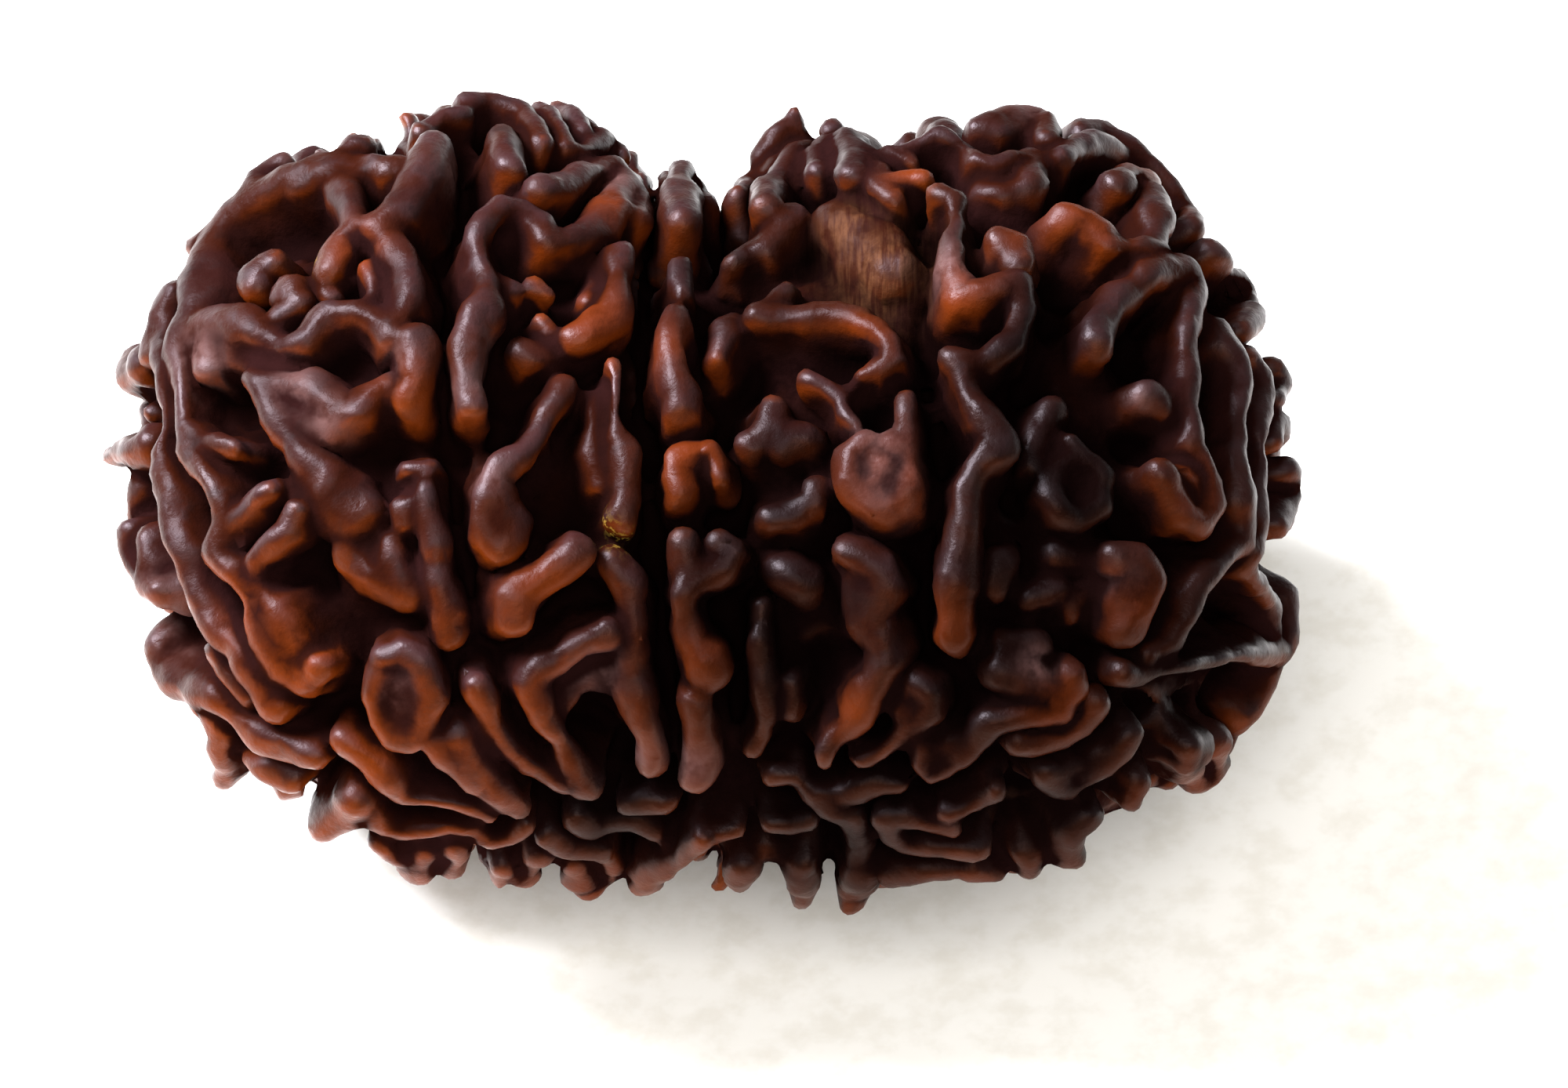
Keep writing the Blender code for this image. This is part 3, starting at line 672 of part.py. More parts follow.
def spurs(shown, rng):
    """Ridges that carry on from the rim of the part in sight to the side out of sight."""
    away = -sight_axes()[2]
    taken = np.vstack([ridge.points for ridge in shown])
    ridges = []
    for ridge in shown:
        for start in ridge.points[facing(ridge.points) < SPUR_FACING][::SPUR_STRIDE]:
            along, side = pole_frame(start)
            heading = math.atan2(away @ side, away @ along) + rng.normal(0.0, HEADING_SPREAD)
            others = taken[np.linalg.norm(taken - start, axis=1) > SPUR_CLEARANCE]
            height = min(body(start), SPUR_HEIGHT)
            line = crawl(start, heading, rng.uniform(*SPUR_LENGTHS), height, rng, others)
            ridges.append(uneven(line, rng))
            taken = np.vstack([taken, line[2:]])
    return ridges


def hidden_ridge(start, rng, taken):
    """One ridge by the seeded rule, along the pole axis more often than across it."""
    height = rng.uniform(*HIDDEN_HEIGHTS) * behind_rim(start[None])[0]
    heading = rng.normal(0.0, HEADING_SPREAD)
    if rng.random() > POLEWARD_SHARE:
        heading += math.pi / 2
    ahead = crawl(start, heading, rng.uniform(*HIDDEN_LENGTHS), height, rng, taken)
    behind = crawl(start, heading + math.pi, rng.uniform(*HIDDEN_LENGTHS), height, rng, taken)
    return uneven(np.vstack([behind[:0:-1], ahead]), rng)


def meridian(stone, turn):
    """A line over a stone from pole to pole, at a turn round its pole axis."""
    across = np.sin(MERIDIAN_FALLS) * math.cos(math.radians(turn))
    upward = np.sin(MERIDIAN_FALLS) * math.sin(math.radians(turn))
    unit = np.stack([across, -np.cos(MERIDIAN_FALLS), upward], axis=1)
    return settle(np.array(stone) + unit * STONE_RADII, 0.0)


def hidden_grooves():
    """The parts of the pole to pole grooves that are out of sight."""
    lines = []
    for stone, turns in ((LEFT_STONE, LEFT_GROOVE_TURNS), (RIGHT_STONE, RIGHT_GROOVE_TURNS)):
        for turn in turns:
            line = meridian(stone, turn)
            own_side = line[:, 0] * stone[0] > SEAM_CLEARANCE * abs(stone[0])
            line = line[own_side & (facing(line) < RIM_FACING)]
            if len(line) > 2:
                lines.append(line)
    return lines


def banks(rng):
    """Broken ridges along both sides of each hidden groove."""
    ridges = []
    for line in hidden_grooves():
        side = np.cross(outward(line), np.gradient(line, axis=0))
        side /= np.linalg.norm(side, axis=1, keepdims=True)
        for way in (-1.0, 1.0):
            edge = line + way * (BANK_OFFSET + rng.normal(0.0, BANK_SPREAD, (len(line), 1))) * side
            first = rng.integers(*BANK_GAPS)
            while first < len(edge) - 2:
                last = first + rng.integers(*BANK_LENGTHS)
                heights = rng.uniform(*BANK_HEIGHTS) * behind_rim(edge[first:last])
                ridges.append(uneven(settle(edge[first:last], heights), rng))
                first = last + rng.integers(*BANK_GAPS)
    return ridges


def hidden_ridges(shown):
    """Ridges and knobs by a seeded rule where the photo doesn't show the bead."""
    rng = np.random.default_rng(SEED)
    starts = hidden_starts(rng)
    ridges = spurs(shown, rng) + banks(rng)
    taken = np.vstack([ridge.points for ridge in shown + ridges] + hidden_grooves())
    for start in starts:
        if np.linalg.norm(taken - start, axis=1).min() > HIDDEN_SPACING:
            ridges.append(hidden_ridge(start, rng, taken))
            taken = np.vstack([taken, ridges[-1].points])
    for start in starts:
        place = settle(start[None], rng.uniform(*KNOB_HEIGHTS) * behind_rim(start[None])[0])
        if np.linalg.norm(taken - place, axis=1).min() > KNOB_SPACING:
            line = np.vstack([place, place + rng.normal(0.0, KNOB_SPREAD, 3)])
            ridges.append(Ridge(line, np.full(2, rng.uniform(*HIDDEN_RADII))))
            taken = np.vstack([taken, line])
    return ridges


def window(axes, low, high):
    """Slices of the cells between two corners."""
    slices = []
    for axis, bottom, top in zip(axes, low, high):
        first, last = np.searchsorted(axis, [bottom, top])
        slices.append(slice(min(first, len(axis) - 1), max(last, first + 1)))
    return tuple(slices)


def places(axes, slices):
    """Where the cells in the slices are, as three arrays that combine into a block."""
    shapes = [(-1, 1, 1), (1, -1, 1), (1, 1, -1)]
    return [axis[part].reshape(shape) for axis, part, shape in zip(axes, slices, shapes)]


def piece_distance(place, ridge, n):
    """Distance from one piece of a ridge: a round top over walls that go down into the body."""
    start, end = ridge.points[n:n + 2]
    run = end - start
    offset = [axis - value for axis, value in zip(place, start)]
    t = sum(part * value for part, value in zip(offset, run)) / max(run @ run, TINY)
    t = np.clip(t, 0.0, 1.0)
    offset = [part - t * value for part, value in zip(offset, run)]
    normal = [a + t * (b - a) for a, b in zip(ridge.normals[n], ridge.normals[n + 1])]
    rise = sum(part * value for part, value in zip(offset, normal))
    flat = np.maximum(sum(part * part for part in offset) - rise * rise, 0.0)
    depth = ridge.depths[n] + t * (ridge.depths[n + 1] - ridge.depths[n])
    radius = ridge.radii[n] + t * (ridge.radii[n + 1] - ridge.radii[n])
    radius = radius * (1.0 + WALL_FLARE * np.clip(-rise / depth, 0.0, 1.0))
    over = np.maximum(rise, 0.0) + np.maximum(-rise - depth, 0.0)
    return np.sqrt(flat + over * over) - radius


def ridge_distance(axes, ridge):
    """The cells round a ridge and their distances from it."""
    roots = ridge.points - ridge.normals * ridge.depths[:, None]
    reach = ridge.radii.max() * (1.0 + WALL_FLARE) + ROOT_BLEND
    windows = []
    for n in range(len(ridge.points) - 1):
        corners = np.vstack([ridge.points[n:n + 2], roots[n:n + 2]])
        windows.append(window(axes, corners.min(axis=0) - reach, corners.max(axis=0) + reach))
    whole = tuple(slice(min(part[axis].start for part in windows), max(part[axis].stop for part in windows))
                  for axis in range(3))
    own = np.full([part.stop - part.start for part in whole], FAR)
    for n, near in enumerate(windows):
        local = tuple(slice(part.start - outer.start, part.stop - outer.start)
                      for part, outer in zip(near, whole))
        own[local] = np.minimum(own[local], piece_distance(places(axes, near), ridge, n))
    return whole, own


def cut_grooves(field, axes):
    """Cuts the grooves into the body's field."""
    lines = [smooth_line(points) for points in GROOVES]
    tracks = [land(line, np.full(len(line), GROOVE_HEIGHT)) for line in lines]
    for points in tracks + hidden_grooves():
        track = Ridge(points, np.full(len(points), GROOVE_RADIUS))
        track.depths = np.full(len(points), TINY)
        near, own = ridge_distance(axes, track)
        field[near] = carve(field[near], own, GROOVE_BLEND)


def cut_hollows(field, axes):
    """Presses the hollows into the body's field."""
    for across, up, radius, depth in HOLLOWS:
        centre = land(np.array([[across, up]]), np.array([radius - depth - FLOOR_DROP]))[0]
        near = window(axes, centre - radius - ROOT_BLEND, centre + radius + ROOT_BLEND)
        offset = [axis - value for axis, value in zip(places(axes, near), centre)]
        ball = np.sqrt(sum(part * part for part in offset)) - radius
        field[near] = carve(field[near], ball, GROOVE_BLEND)


def cut_gaps(field, axes):
    """Clears the sight lines that pass between the teeth at the bead's edge."""
    upward = sight_axes()[1]
    for across, up, radius in GAPS:
        reach = radius + GROOVE_BLEND
        near = window(axes, (across - reach, *(-BLOCK[1:])), (across + reach, *BLOCK[1:]))
        place = places(axes, near)
        height = place[1] * upward[1] + place[2] * upward[2]
        gap = np.hypot(place[0] - across, height - up) - radius
        field[near] = carve(field[near], gap, GROOVE_BLEND)


def bead_field(cell):
    """The bead's distance field on a block of cells, and the places of the cells along each axis."""
    axes = [np.arange(-reach, reach + cell, cell) for reach in BLOCK]
    whole = tuple(slice(0, len(axis)) for axis in axes)
    cells = places(axes, whole)
    field = body(cells) + FLOOR_DROP + swells(cells)
    cut_grooves(field, axes)
    cut_hollows(field, axes)
    relief = np.full(field.shape, FAR)
    shown = ridges_in_sight() + feet()
    for ridge in shown + hidden_ridges(shown):
        near, own = ridge_distance(axes, ridge)
        relief[near] = blend(relief[near], own, RIDGE_BLEND)
    field = blend(field, relief, ROOT_BLEND)
    cut_gaps(field, axes)
    return field, axes


def outer_quads(quads, count):
    """The faces of the largest connected piece, so that no sealed pocket is left inside."""
    labels = np.arange(count)
    while True:
        lowest = labels[quads].min(axis=1)
        spread = labels.copy()
        for corner in quads.T:
            np.minimum.at(spread, corner, lowest)
        spread = spread[spread]
        if (spread == labels).all():
            break
        labels = spread
    largest = np.bincount(labels[quads[:, 0]]).argmax()
    return quads[labels[quads[:, 0]] == largest]


def mesh_of(field, axes, cell):
    """The field's outer surface as a mesh, in metres."""
    grid = openvdb.FloatGrid(FAR)
    grid.copyFromArray(field.astype(np.float32))
    points, _, quads = grid.convertToPolygons(isovalue=0.0, adaptivity=0.0)
    quads = outer_quads(quads.astype(np.int64), len(points))
    used, corners = np.unique(quads, return_inverse=True)
    low = np.array([axis[0] for axis in axes])
    points = (points[used] * cell + low) * MM
    mesh = bpy.data.meshes.new("rudraksha_bead")
    mesh.from_pydata(points.tolist(), [], corners.reshape(-1, 4).tolist())
    mesh.update()
    return mesh


def clear_scene():
    """Removes whatever the scene starts with."""
    for item in list(bpy.data.objects):
        bpy.data.objects.remove(item, do_unlink=True)


def new_collection(name):
    """A collection in the scene."""
    collection = bpy.data.collections.new(name)
    bpy.context.scene.collection.children.link(collection)
    return collection


def stone_material():
    """Dark brown stone with a waxed look."""
    material = bpy.data.materials.new("endocarp")
    material.use_nodes = True
    shader = material.node_tree.nodes["Principled BSDF"]
    shader.inputs["Base Color"].default_value = STONE_COLOUR
    shader.inputs["Roughness"].default_value = STONE_ROUGHNESS
    material.diffuse_color = STONE_COLOUR
    return material


def floor_cutter(collection):
    """The block that levels the feet at the height the bead rests on."""
    bpy.ops.mesh.primitive_cube_add(size=1.0)
    cutter = bpy.context.object
    cutter.name = "rest_cutter"
    cutter.scale = CUTTER_SIZE
    cutter.location = (0.0, 0.0, -CUTTER_SIZE[2] / 2)
    cutter.hide_render = True
    cutter.display_type = "WIRE"
    for owner in cutter.users_collection:
        owner.objects.unlink(cutter)
    collection.objects.link(cutter)
    return cutter


def build_bead():
    """The bead as one object that rests on its levelled feet."""
    field, axes = bead_field(CELL)
    bead = bpy.data.objects.new("rudraksha_bead", mesh_of(field, axes, CELL))
    new_collection("twin_rudraksha_bead").objects.link(bead)
    bead.location = [-value * MM for value in BEAD_MIDDLE]
    bead.data.materials.append(stone_material())
    smooth = bead.modifiers.new("even_out", "SMOOTH")
    smooth.factor = 0.5
    smooth.iterations = SMOOTHING_ROUNDS
    thin = bead.modifiers.new("fewer_triangles", "DECIMATE")
    thin.ratio = TRIANGLES / (2.0 * len(bead.data.polygons))
    level = bead.modifiers.new("level_feet", "BOOLEAN")
    level.operation = "DIFFERENCE"
    level.object = floor_cutter(new_collection("cutters"))
    bead.data.shade_smooth()
    return bead


clear_scene()
build_bead()
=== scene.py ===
"""Looks of the twin rudraksha bead: a finer bead in place of the CAD node, its skin, and a studio.

The bead's form is worked out again from the same values and lists as in the part's source, on
finer cells, and then gets the lumps, pits and fibres that the CAD solid leaves out.
"""

import math

import bpy
import mathutils
import numpy as np
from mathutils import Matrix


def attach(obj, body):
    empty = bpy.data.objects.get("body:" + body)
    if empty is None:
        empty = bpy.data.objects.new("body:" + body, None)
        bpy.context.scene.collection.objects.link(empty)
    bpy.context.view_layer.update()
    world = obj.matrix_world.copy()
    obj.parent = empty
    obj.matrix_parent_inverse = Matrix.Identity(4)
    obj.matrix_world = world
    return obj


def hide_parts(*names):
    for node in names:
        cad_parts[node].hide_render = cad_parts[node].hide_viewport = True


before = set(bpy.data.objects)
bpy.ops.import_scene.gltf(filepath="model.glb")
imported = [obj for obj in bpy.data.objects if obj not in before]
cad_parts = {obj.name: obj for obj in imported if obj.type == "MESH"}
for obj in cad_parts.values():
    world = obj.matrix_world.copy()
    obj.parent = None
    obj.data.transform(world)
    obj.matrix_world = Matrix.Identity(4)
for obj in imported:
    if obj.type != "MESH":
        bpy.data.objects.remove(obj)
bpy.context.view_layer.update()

import openvdb

MM = 0.001
NODE = "rudraksha_bead"

# Photograph: its frame in pixels, the pixel where the bead's middle shows, and its scale
PHOTO_SIZE = (2000, 1388)
MIDDLE_PIXEL = (902.5, 637.5)
MM_PER_PIXEL = 36.0 / 1525.0
LENS = 1000.0
SENSOR = 36.0

# Body under the ridges, in millimetres from the middle of the bead
LEFT_STONE = (-7.75, 0.3, 0.35)
RIGHT_STONE = (7.6, 0.0, 0.0)
STONE_RADII = (9.1, 11.9, 9.3)
BRIDGE = (0.3, -2.1, -0.2)
BRIDGE_RADII = (6.6, 9.3, 7.7)
STONE_BLEND = 3.2

# The ridges in sight are placed along sight lines that come down this steeply. The lines are
# searched this far each way, in steps, in millimetres.
SIGHT_RISE = math.radians(48.0)
SIGHT_REACH = 20.0
SIGHT_STEP = 0.05

# The floor between the ridges lies this far under the body, in millimetres
FLOOR_DROP = 0.45

# Slow swells of the floor, as plane waves from a seeded draw, in millimetres
SWELL_COUNT = 14
SWELL_LENGTHS = (2.0, 4.5)
SWELL_HEIGHT = 0.12

# Form of a ridge, in millimetres. A ridge is wider than its lit top, and its walls widen by a
# share of its half width on the way down.
PIECE_LENGTH = 0.45
TOP_TO_WIDTH = 1.22
ROOT_DEPTH = 1.3
WALL_FLARE = 0.6
RIDGE_BLEND = 0.25
ROOT_BLEND = 0.5
GROOVE_BLEND = 0.3
LEAST_RADIUS = 0.2

# Grooves on the side out of sight: turns round each stone's pole axis in degrees, the angles from
# its near pole that they run over, and how far they stay from the seam, in millimetres
LEFT_GROOVE_TURNS = (90.0, 165.0, 205.0, 250.0, 300.0)
RIGHT_GROOVE_TURNS = (97.0, 33.0, -8.0, -55.0, -105.0)
MERIDIAN_FALLS = np.radians(np.arange(14.0, 168.0, 2.4))
SEAM_CLEARANCE = 0.8

# Ridges on the side out of sight, in millimetres and radians, from one seeded draw. They start
# where the body faces away from the eye, from nearer the rim on the upper side, low at first.
SEED = 7
RIM_FACING = -0.25
FULL_FACING = -0.55
RIM_HEIGHT_SHARE = 0.05
UPPER_RIM = 0.1
UPPER_RIM_FACING = 0.2
HIDDEN_RADII = (0.42, 0.58)
RADIUS_SPREAD = 0.1
END_SWELLING = 1.3

# Broken ridges along both sides of those grooves, with lengths and gaps in points of a groove
BANK_OFFSET = 0.95
BANK_SPREAD = 0.12
BANK_LENGTHS = (5, 15)
BANK_GAPS = (1, 3)
BANK_HEIGHTS = (1.0, 1.4)

# Spurs that carry the ridges in sight on over the rim, from every few points of a ridge there
SPUR_FACING = 0.08
SPUR_HEIGHT = 0.7
SPUR_STRIDE = 3
SPUR_LENGTHS = (1.5, 4.5)
SPUR_CLEARANCE = 1.7

# Ridges that crawl over what is left, from starts spread evenly over a long ball. They run along
# the pole axis more often than across it, and join the ridge that they meet or stop short of it.
START_COUNT = 2600
START_RADII = (17.0, 11.0, 9.0)
POLE_AXIS = np.array([0.0, 1.0, 0.0])
HIDDEN_SPACING = 1.7
CLEARANCE = 1.45
HIDDEN_STEP = 0.5
HIDDEN_HEIGHTS = (0.9, 1.4)
HIDDEN_LENGTHS = (1.0, 4.5)
JOIN_SHARE = 0.55
JOIN_STEPS = 3
POLEWARD_SHARE = 0.6
HEADING_SPREAD = 0.3
STEADINESS = 0.75
WANDER = 0.3

# Knobs in the gaps that are still left
KNOB_SPACING = 1.4
KNOB_HEIGHTS = (0.5, 1.0)
KNOB_SPREAD = 0.2

# The feet that the bead rests on, in millimetres, and the point of these millimetres that the
# frame's origin is at: the middle of the bead's box, at the level it rests on
REST_LEVEL = -10.6
FEET = [(-7.9, -3.0), (-7.6, 2.9), (7.5, -2.9), (7.9, 3.1)]
FOOT_RADIUS = 0.6
FOOT_LENGTH = 1.3
FOOT_DEPTH = 0.25
BEAD_MIDDLE = (0.033, 0.34, REST_LEVEL)

# Finer mesh: the block of cells round the bead and the size of a cell, in millimetres, the
# triangles it keeps, and how far it is evened out
BLOCK = np.array([19.4, 15.2, 13.0])
FINE_CELL = 0.14
FINE_TRIANGLES = 194000
FINE_SMOOTHING_ROUNDS = 1
SMOOTHING_SHARE = 0.5

# Lumps and pits: wavelength, height on the ridges and height on the floor, in millimetres, and
# how far over the body a point counts as ridge
LUMPS = [(2.2, 0.19, 0.15), (1.1, 0.17, 0.14), (0.55, 0.085, 0.10), (0.3, 0.025, 0.05)]
RIDGE_RISE = 0.9

# Fibres of the dried pulp: their noise is drawn out along the last two axes. Their width and
# height are in millimetres.
FIBRE_STRETCH = np.array([1.0, 0.12, 0.12])
FIBRE_WIDTH = 0.3
FIBRE_HEIGHT = 0.12

# How far round a point its skin's colour looks for solid, in millimetres, and in how many rounds
CREST_REACH = 0.35
HOLLOW_REACH = 1.1
BLUR_ROUNDS = 2

# Spots on the skin: millimetres right, millimetres up and radius, as in the photo. They are laid
# on the bead at one height over the body.
SPOT_HEIGHT = 0.8
WARM_SPOTS = [
    (-12.2, -4.7, 1.5), (-13.6, -3.4, 1.2), (-10.4, 7.3, 1.0), (-3.4, 5.0, 1.3), (-3.0, 8.4, 0.9),
    (-0.5, 1.0, 1.1), (-5.0, -2.7, 1.1), (-10.2, -7.6, 1.0), (-0.1, -4.8, 0.9), (5.3, 0.5, 1.2),
    (4.6, 4.6, 0.9), (7.7, 5.9, 1.1), (11.2, 8.0, 1.2), (6.2, 9.5, 0.9), (4.6, -6.2, 0.9),
    (7.4, -3.7, 0.9), (12.8, -3.0, 1.1), (14.6, -8.0, 0.8), (9.1, 7.4, 0.7), (14.2, 0.2, 1.0),
    (13.3, 9.3, 0.9), (-13.9, -6.8, 1.0), (-1.0, 4.2, 0.9), (-8.9, 3.2, 0.9), (10.3, -6.0, 1.0),
]
# Painted shade: dark spots over the deepest hollows
HOLLOW_SHADE_SPOTS = [
    (9.6, 3.2, 2.0), (9.4, 0.4, 1.8), (10.4, -1.4, 1.6), (0.8, -0.8, 1.6), (1.4, -4.4, 1.8),
    (2.4, -8.6, 1.6), (0.4, 7.4, 1.2), (10.4, 5.8, 1.6), (9.0, -2.8, 1.4), (-3.4, -7.0, 1.3),
    (-1.5, -8.8, 1.4), (5.4, -8.6, 1.5), (12.4, 4.6, 1.2), (14.6, -6.6, 1.4), (3.2, -5.2, 1.2),
]
# Painted shade: broad dark spots on the lower front and right, where little light falls
SHADED_SPOTS = [
    (2.0, -4.5, 4.5), (8.5, -5.5, 5.0), (13.5, -5.0, 4.5), (4.0, -10.0, 4.5), (11.0, 0.5, 3.5),
    (-3.0, -9.5, 3.0), (10.0, -9.0, 4.0), (9.5, 4.5, 2.0), (0.5, 6.5, 1.6), (2.0, 0.5, 1.8),
]
PALE_SPOTS = [(4.9, 7.2, 1.5), (5.6, 6.2, 0.9), (4.0, 8.2, 0.9)]
CRUMB_SPOTS = [
    (-11.9, 7.1, 0.35), (-3.3, -0.8, 0.3), (-2.9, -1.0, 0.35), (-2.5, -1.15, 0.28), (3.1, 6.5, 0.22),
    (3.4, 6.25, 0.22), (5.7, 6.0, 0.4),
]
# Painted highlights: pale spots on ridges and knobs
PAINTED_HIGHLIGHT_SPOTS = [
    (5.2, 1.5, 0.7), (5.4, 0.8, 0.75), (5.5, 0.1, 0.7), (7.3, 6.8, 0.7), (9.4, 11.2, 0.8),
    (13.0, 3.0, 0.35), (12.4, -2.2, 0.5), (9.8, -4.9, 0.45), (-0.4, -7.8, 0.6),
    (-2.0, -7.4, 0.6), (-3.4, -5.1, 0.7), (-14.9, 4.2, 0.9), (-12.2, 3.2, 0.7), (-11.2, 2.3, 0.6),
    (-7.0, 4.6, 0.5), (-7.0, 3.2, 0.6), (-8.9, 4.1, 0.6), (-2.7, 9.1, 0.8), (-8.0, 9.8, 0.7),
    (-15.2, 7.6, 0.9), (-12.2, 10.4, 0.9), (-6.5, 0.6, 0.5), (-16.2, -3.4, 1.0), (-9.1, -5.6, 0.5),
]

# Colours of the skin, its painted shade, bounce light, sheen and highlights, the fibres, pulp and crumbs
# left on it, the tints of its sheen, and the paper
FLOOR_COLOUR = (0.0062, 0.0016, 0.0012, 1.0)
RIDGE_COLOUR = (0.017, 0.0029, 0.0007, 1.0)
PURPLE_COLOUR = (0.0095, 0.0029, 0.0029, 1.0)
# Painted lilac sheen on the upper sides of the ridges
LILAC_SHEEN_COLOUR = (0.022, 0.0084, 0.0090, 1.0)
# Painted highlight colour
PAINTED_HIGHLIGHT_COLOUR = (0.085, 0.043, 0.040, 1.0)
# Warm colour: the tone of the orange spots, and painted bounce light on the lower flanks
WARM_TONE_AND_BOUNCE_COLOUR = (0.098, 0.0152, 0.0009, 1.0)
TIP_COLOUR = (0.105, 0.0190, 0.0020, 1.0)
# Dusky colour: a darker tone in patches, and painted shade on the right stone and in the shaded spots
DUSKY_TONE_AND_SHADE_COLOUR = (0.0031, 0.0012, 0.0011, 1.0)
# Painted black shade, for the hollows, the dark spots and the shaded spots
PAINTED_SHADE_COLOUR = (0.0012, 0.0004, 0.0004, 1.0)
PULP_COLOUR = (0.055, 0.021, 0.009, 1.0)
FIBRE_COLOUR = (0.022, 0.0062, 0.0030, 1.0)
FLANK_SHEEN = (1.0, 0.42, 0.24, 1.0)
TOP_SHEEN = (0.92, 0.80, 0.86, 1.0)
CRUMB_COLOUR = (0.330, 0.200, 0.030, 1.0)
PAPER_COLOUR = (0.95, 0.94, 0.90, 1.0)
PAPER_SHADE = (0.86, 0.84, 0.78, 1.0)

# Noise in the looks: size of its humps in millimetres, detail and roughness
BROAD_NOISE = (3.0, 2.0, 0.5)
SHEEN_PATCH_NOISE = (1.8, 2.0, 0.5)
PATCHY_NOISE = (0.9, 3.0, 0.6)
FINE_NOISE = (0.22, 3.0, 0.65)
FIBRE_NOISE = (0.16, 2.0, 0.6)
PAPER_NOISE = (1.6, 4.0, 0.6)

# Spans: as a value goes from the first number to the second, the look goes from the third to the
# fourth. The crest value is above 0 on ridges and below it in grooves, the hollow value the other
# way round, and the lower side value is 1 where the skin faces down the picture and -1 up it.
UNEVENNESS = (0.3, 0.7, -0.02, 0.02)
RIDGE_SPAN = (-0.08, 0.12, 0.0, 1.0)
PURPLE_SPAN = (0.42, 0.62, 0.1, 0.7)
# Painted bounce light: orange on the ridge flanks that face down the picture
BOUNCE_CREST_SPAN = (0.0, 0.12, 0.0, 0.75)
BOUNCE_SIDE_SPAN = (-0.1, 0.7, 0.0, 1.0)
TIP_SPAN = (0.17, 0.30, 0.0, 0.75)
UPPER_SIDE_SPAN = (0.25, -0.35, 0.0, 1.0)
# Painted sheen: patchy lilac on the upper sides of the crests
SHEEN_NOISE_SPAN = (0.40, 0.60, 0.1, 0.75)
SHEEN_CREST_SPAN = (0.04, 0.16, 0.0, 1.0)
DUSK_SPAN = (0.45, 0.75, 0.0, 0.5)
WARM_SPAN = (-0.02, 0.14, 0.0, 0.8)
# Painted highlights, on the crests and in patches
HIGHLIGHT_CREST_SPAN = (-0.08, 0.06, 0.0, 0.85)
HIGHLIGHT_PATCH_SPAN = (0.3, 0.6, 0.3, 1.0)
# Painted shade in the dark spots, strongest low between the ridges
HOLLOW_SHADE_SPAN = (0.2, 0.0, 0.25, 0.8)
# Painted shade in the hollows follows this span
DEPTH_SPAN = (0.02, 0.24, 0.0, 1.0)
PULP_SPAN = (0.35, 0.6, 0.35, 0.95)
FIBRE_SPAN = (0.35, 0.62, 0.0, 1.0)
CRUMB_SPAN = (0.5, 0.6, 0.0, 0.8)
MOTTLE_SPAN = (0.3, 0.6, 0.0, 1.0)

# Shares of the darker colours: on the right stone, partly a darker tone and partly painted shade; in the
# shaded spots, painted shade; and in hollows, painted black shade
RIGHT_STONE_DUSK = 0.2
SHADED_DUSK = 0.93
SHADED_BLACK = 0.38
HOLLOW_SHADE_SHARE = 0.65
RIGHT_STONE_HOLLOW_SHADE = 0.3

# Roughness and strength of the shine, as spans, and the bumps' strengths and heights in millimetres
GLOSS_SPAN = (0.3, 0.7, 0.33, 0.50)
HOLLOW_DULL_SPAN = (-0.05, 0.15, 0.0, 0.25)
PULP_DULLNESS = 0.3
SHINE_SPAN = (0.0, 0.20, 0.0, 0.16)
SHADED_SHINE_SPAN = (0.0, 1.0, 1.0, 0.5)
UPPER_RIM_SHINE_SPAN = (-0.92, -0.55, 0.05, 1.0)
PATCHY_GRAIN = 1.6
FIBRE_GRAIN = 2.5
GRAIN_STRENGTH = 0.4
GRAIN_HEIGHT = 0.06
PAPER_ROUGHNESS = 0.9
PAPER_GRAIN_STRENGTH = 0.2
PAPER_GRAIN_HEIGHT = 0.05

# Floor and light, in metres and watts
FLOOR_SIZE = 1.2
FLOOR_GAP = 0.00001
BEAD_AIM = mathutils.Vector((0.0, 0.0, 0.010))
WINDOW_PLACE = (-0.24, 0.09, 0.28)
WINDOW_SIZE = 0.17
WINDOW_POWER = 10.0
WINDOW_COLOUR = (0.92, 0.93, 1.0)
FRONT_PLACE = (0.02, -0.29, 0.34)
FRONT_SIZE = 0.30
FRONT_POWER = 2.2
FRONT_COLOUR = (1.0, 0.97, 0.93)
ROOM_COLOUR = (1.0, 0.99, 0.98, 1.0)
ROOM_STRENGTH = 0.50

# Numbers for the working: the step that slopes are read over, the rounds that points settle in,
# what is added to keep from dividing by nothing, and a distance that counts as far off
SLOPE_STEP = 0.02
SETTLING_ROUNDS = 4
TINY = 1e-6
FAR = 9.0

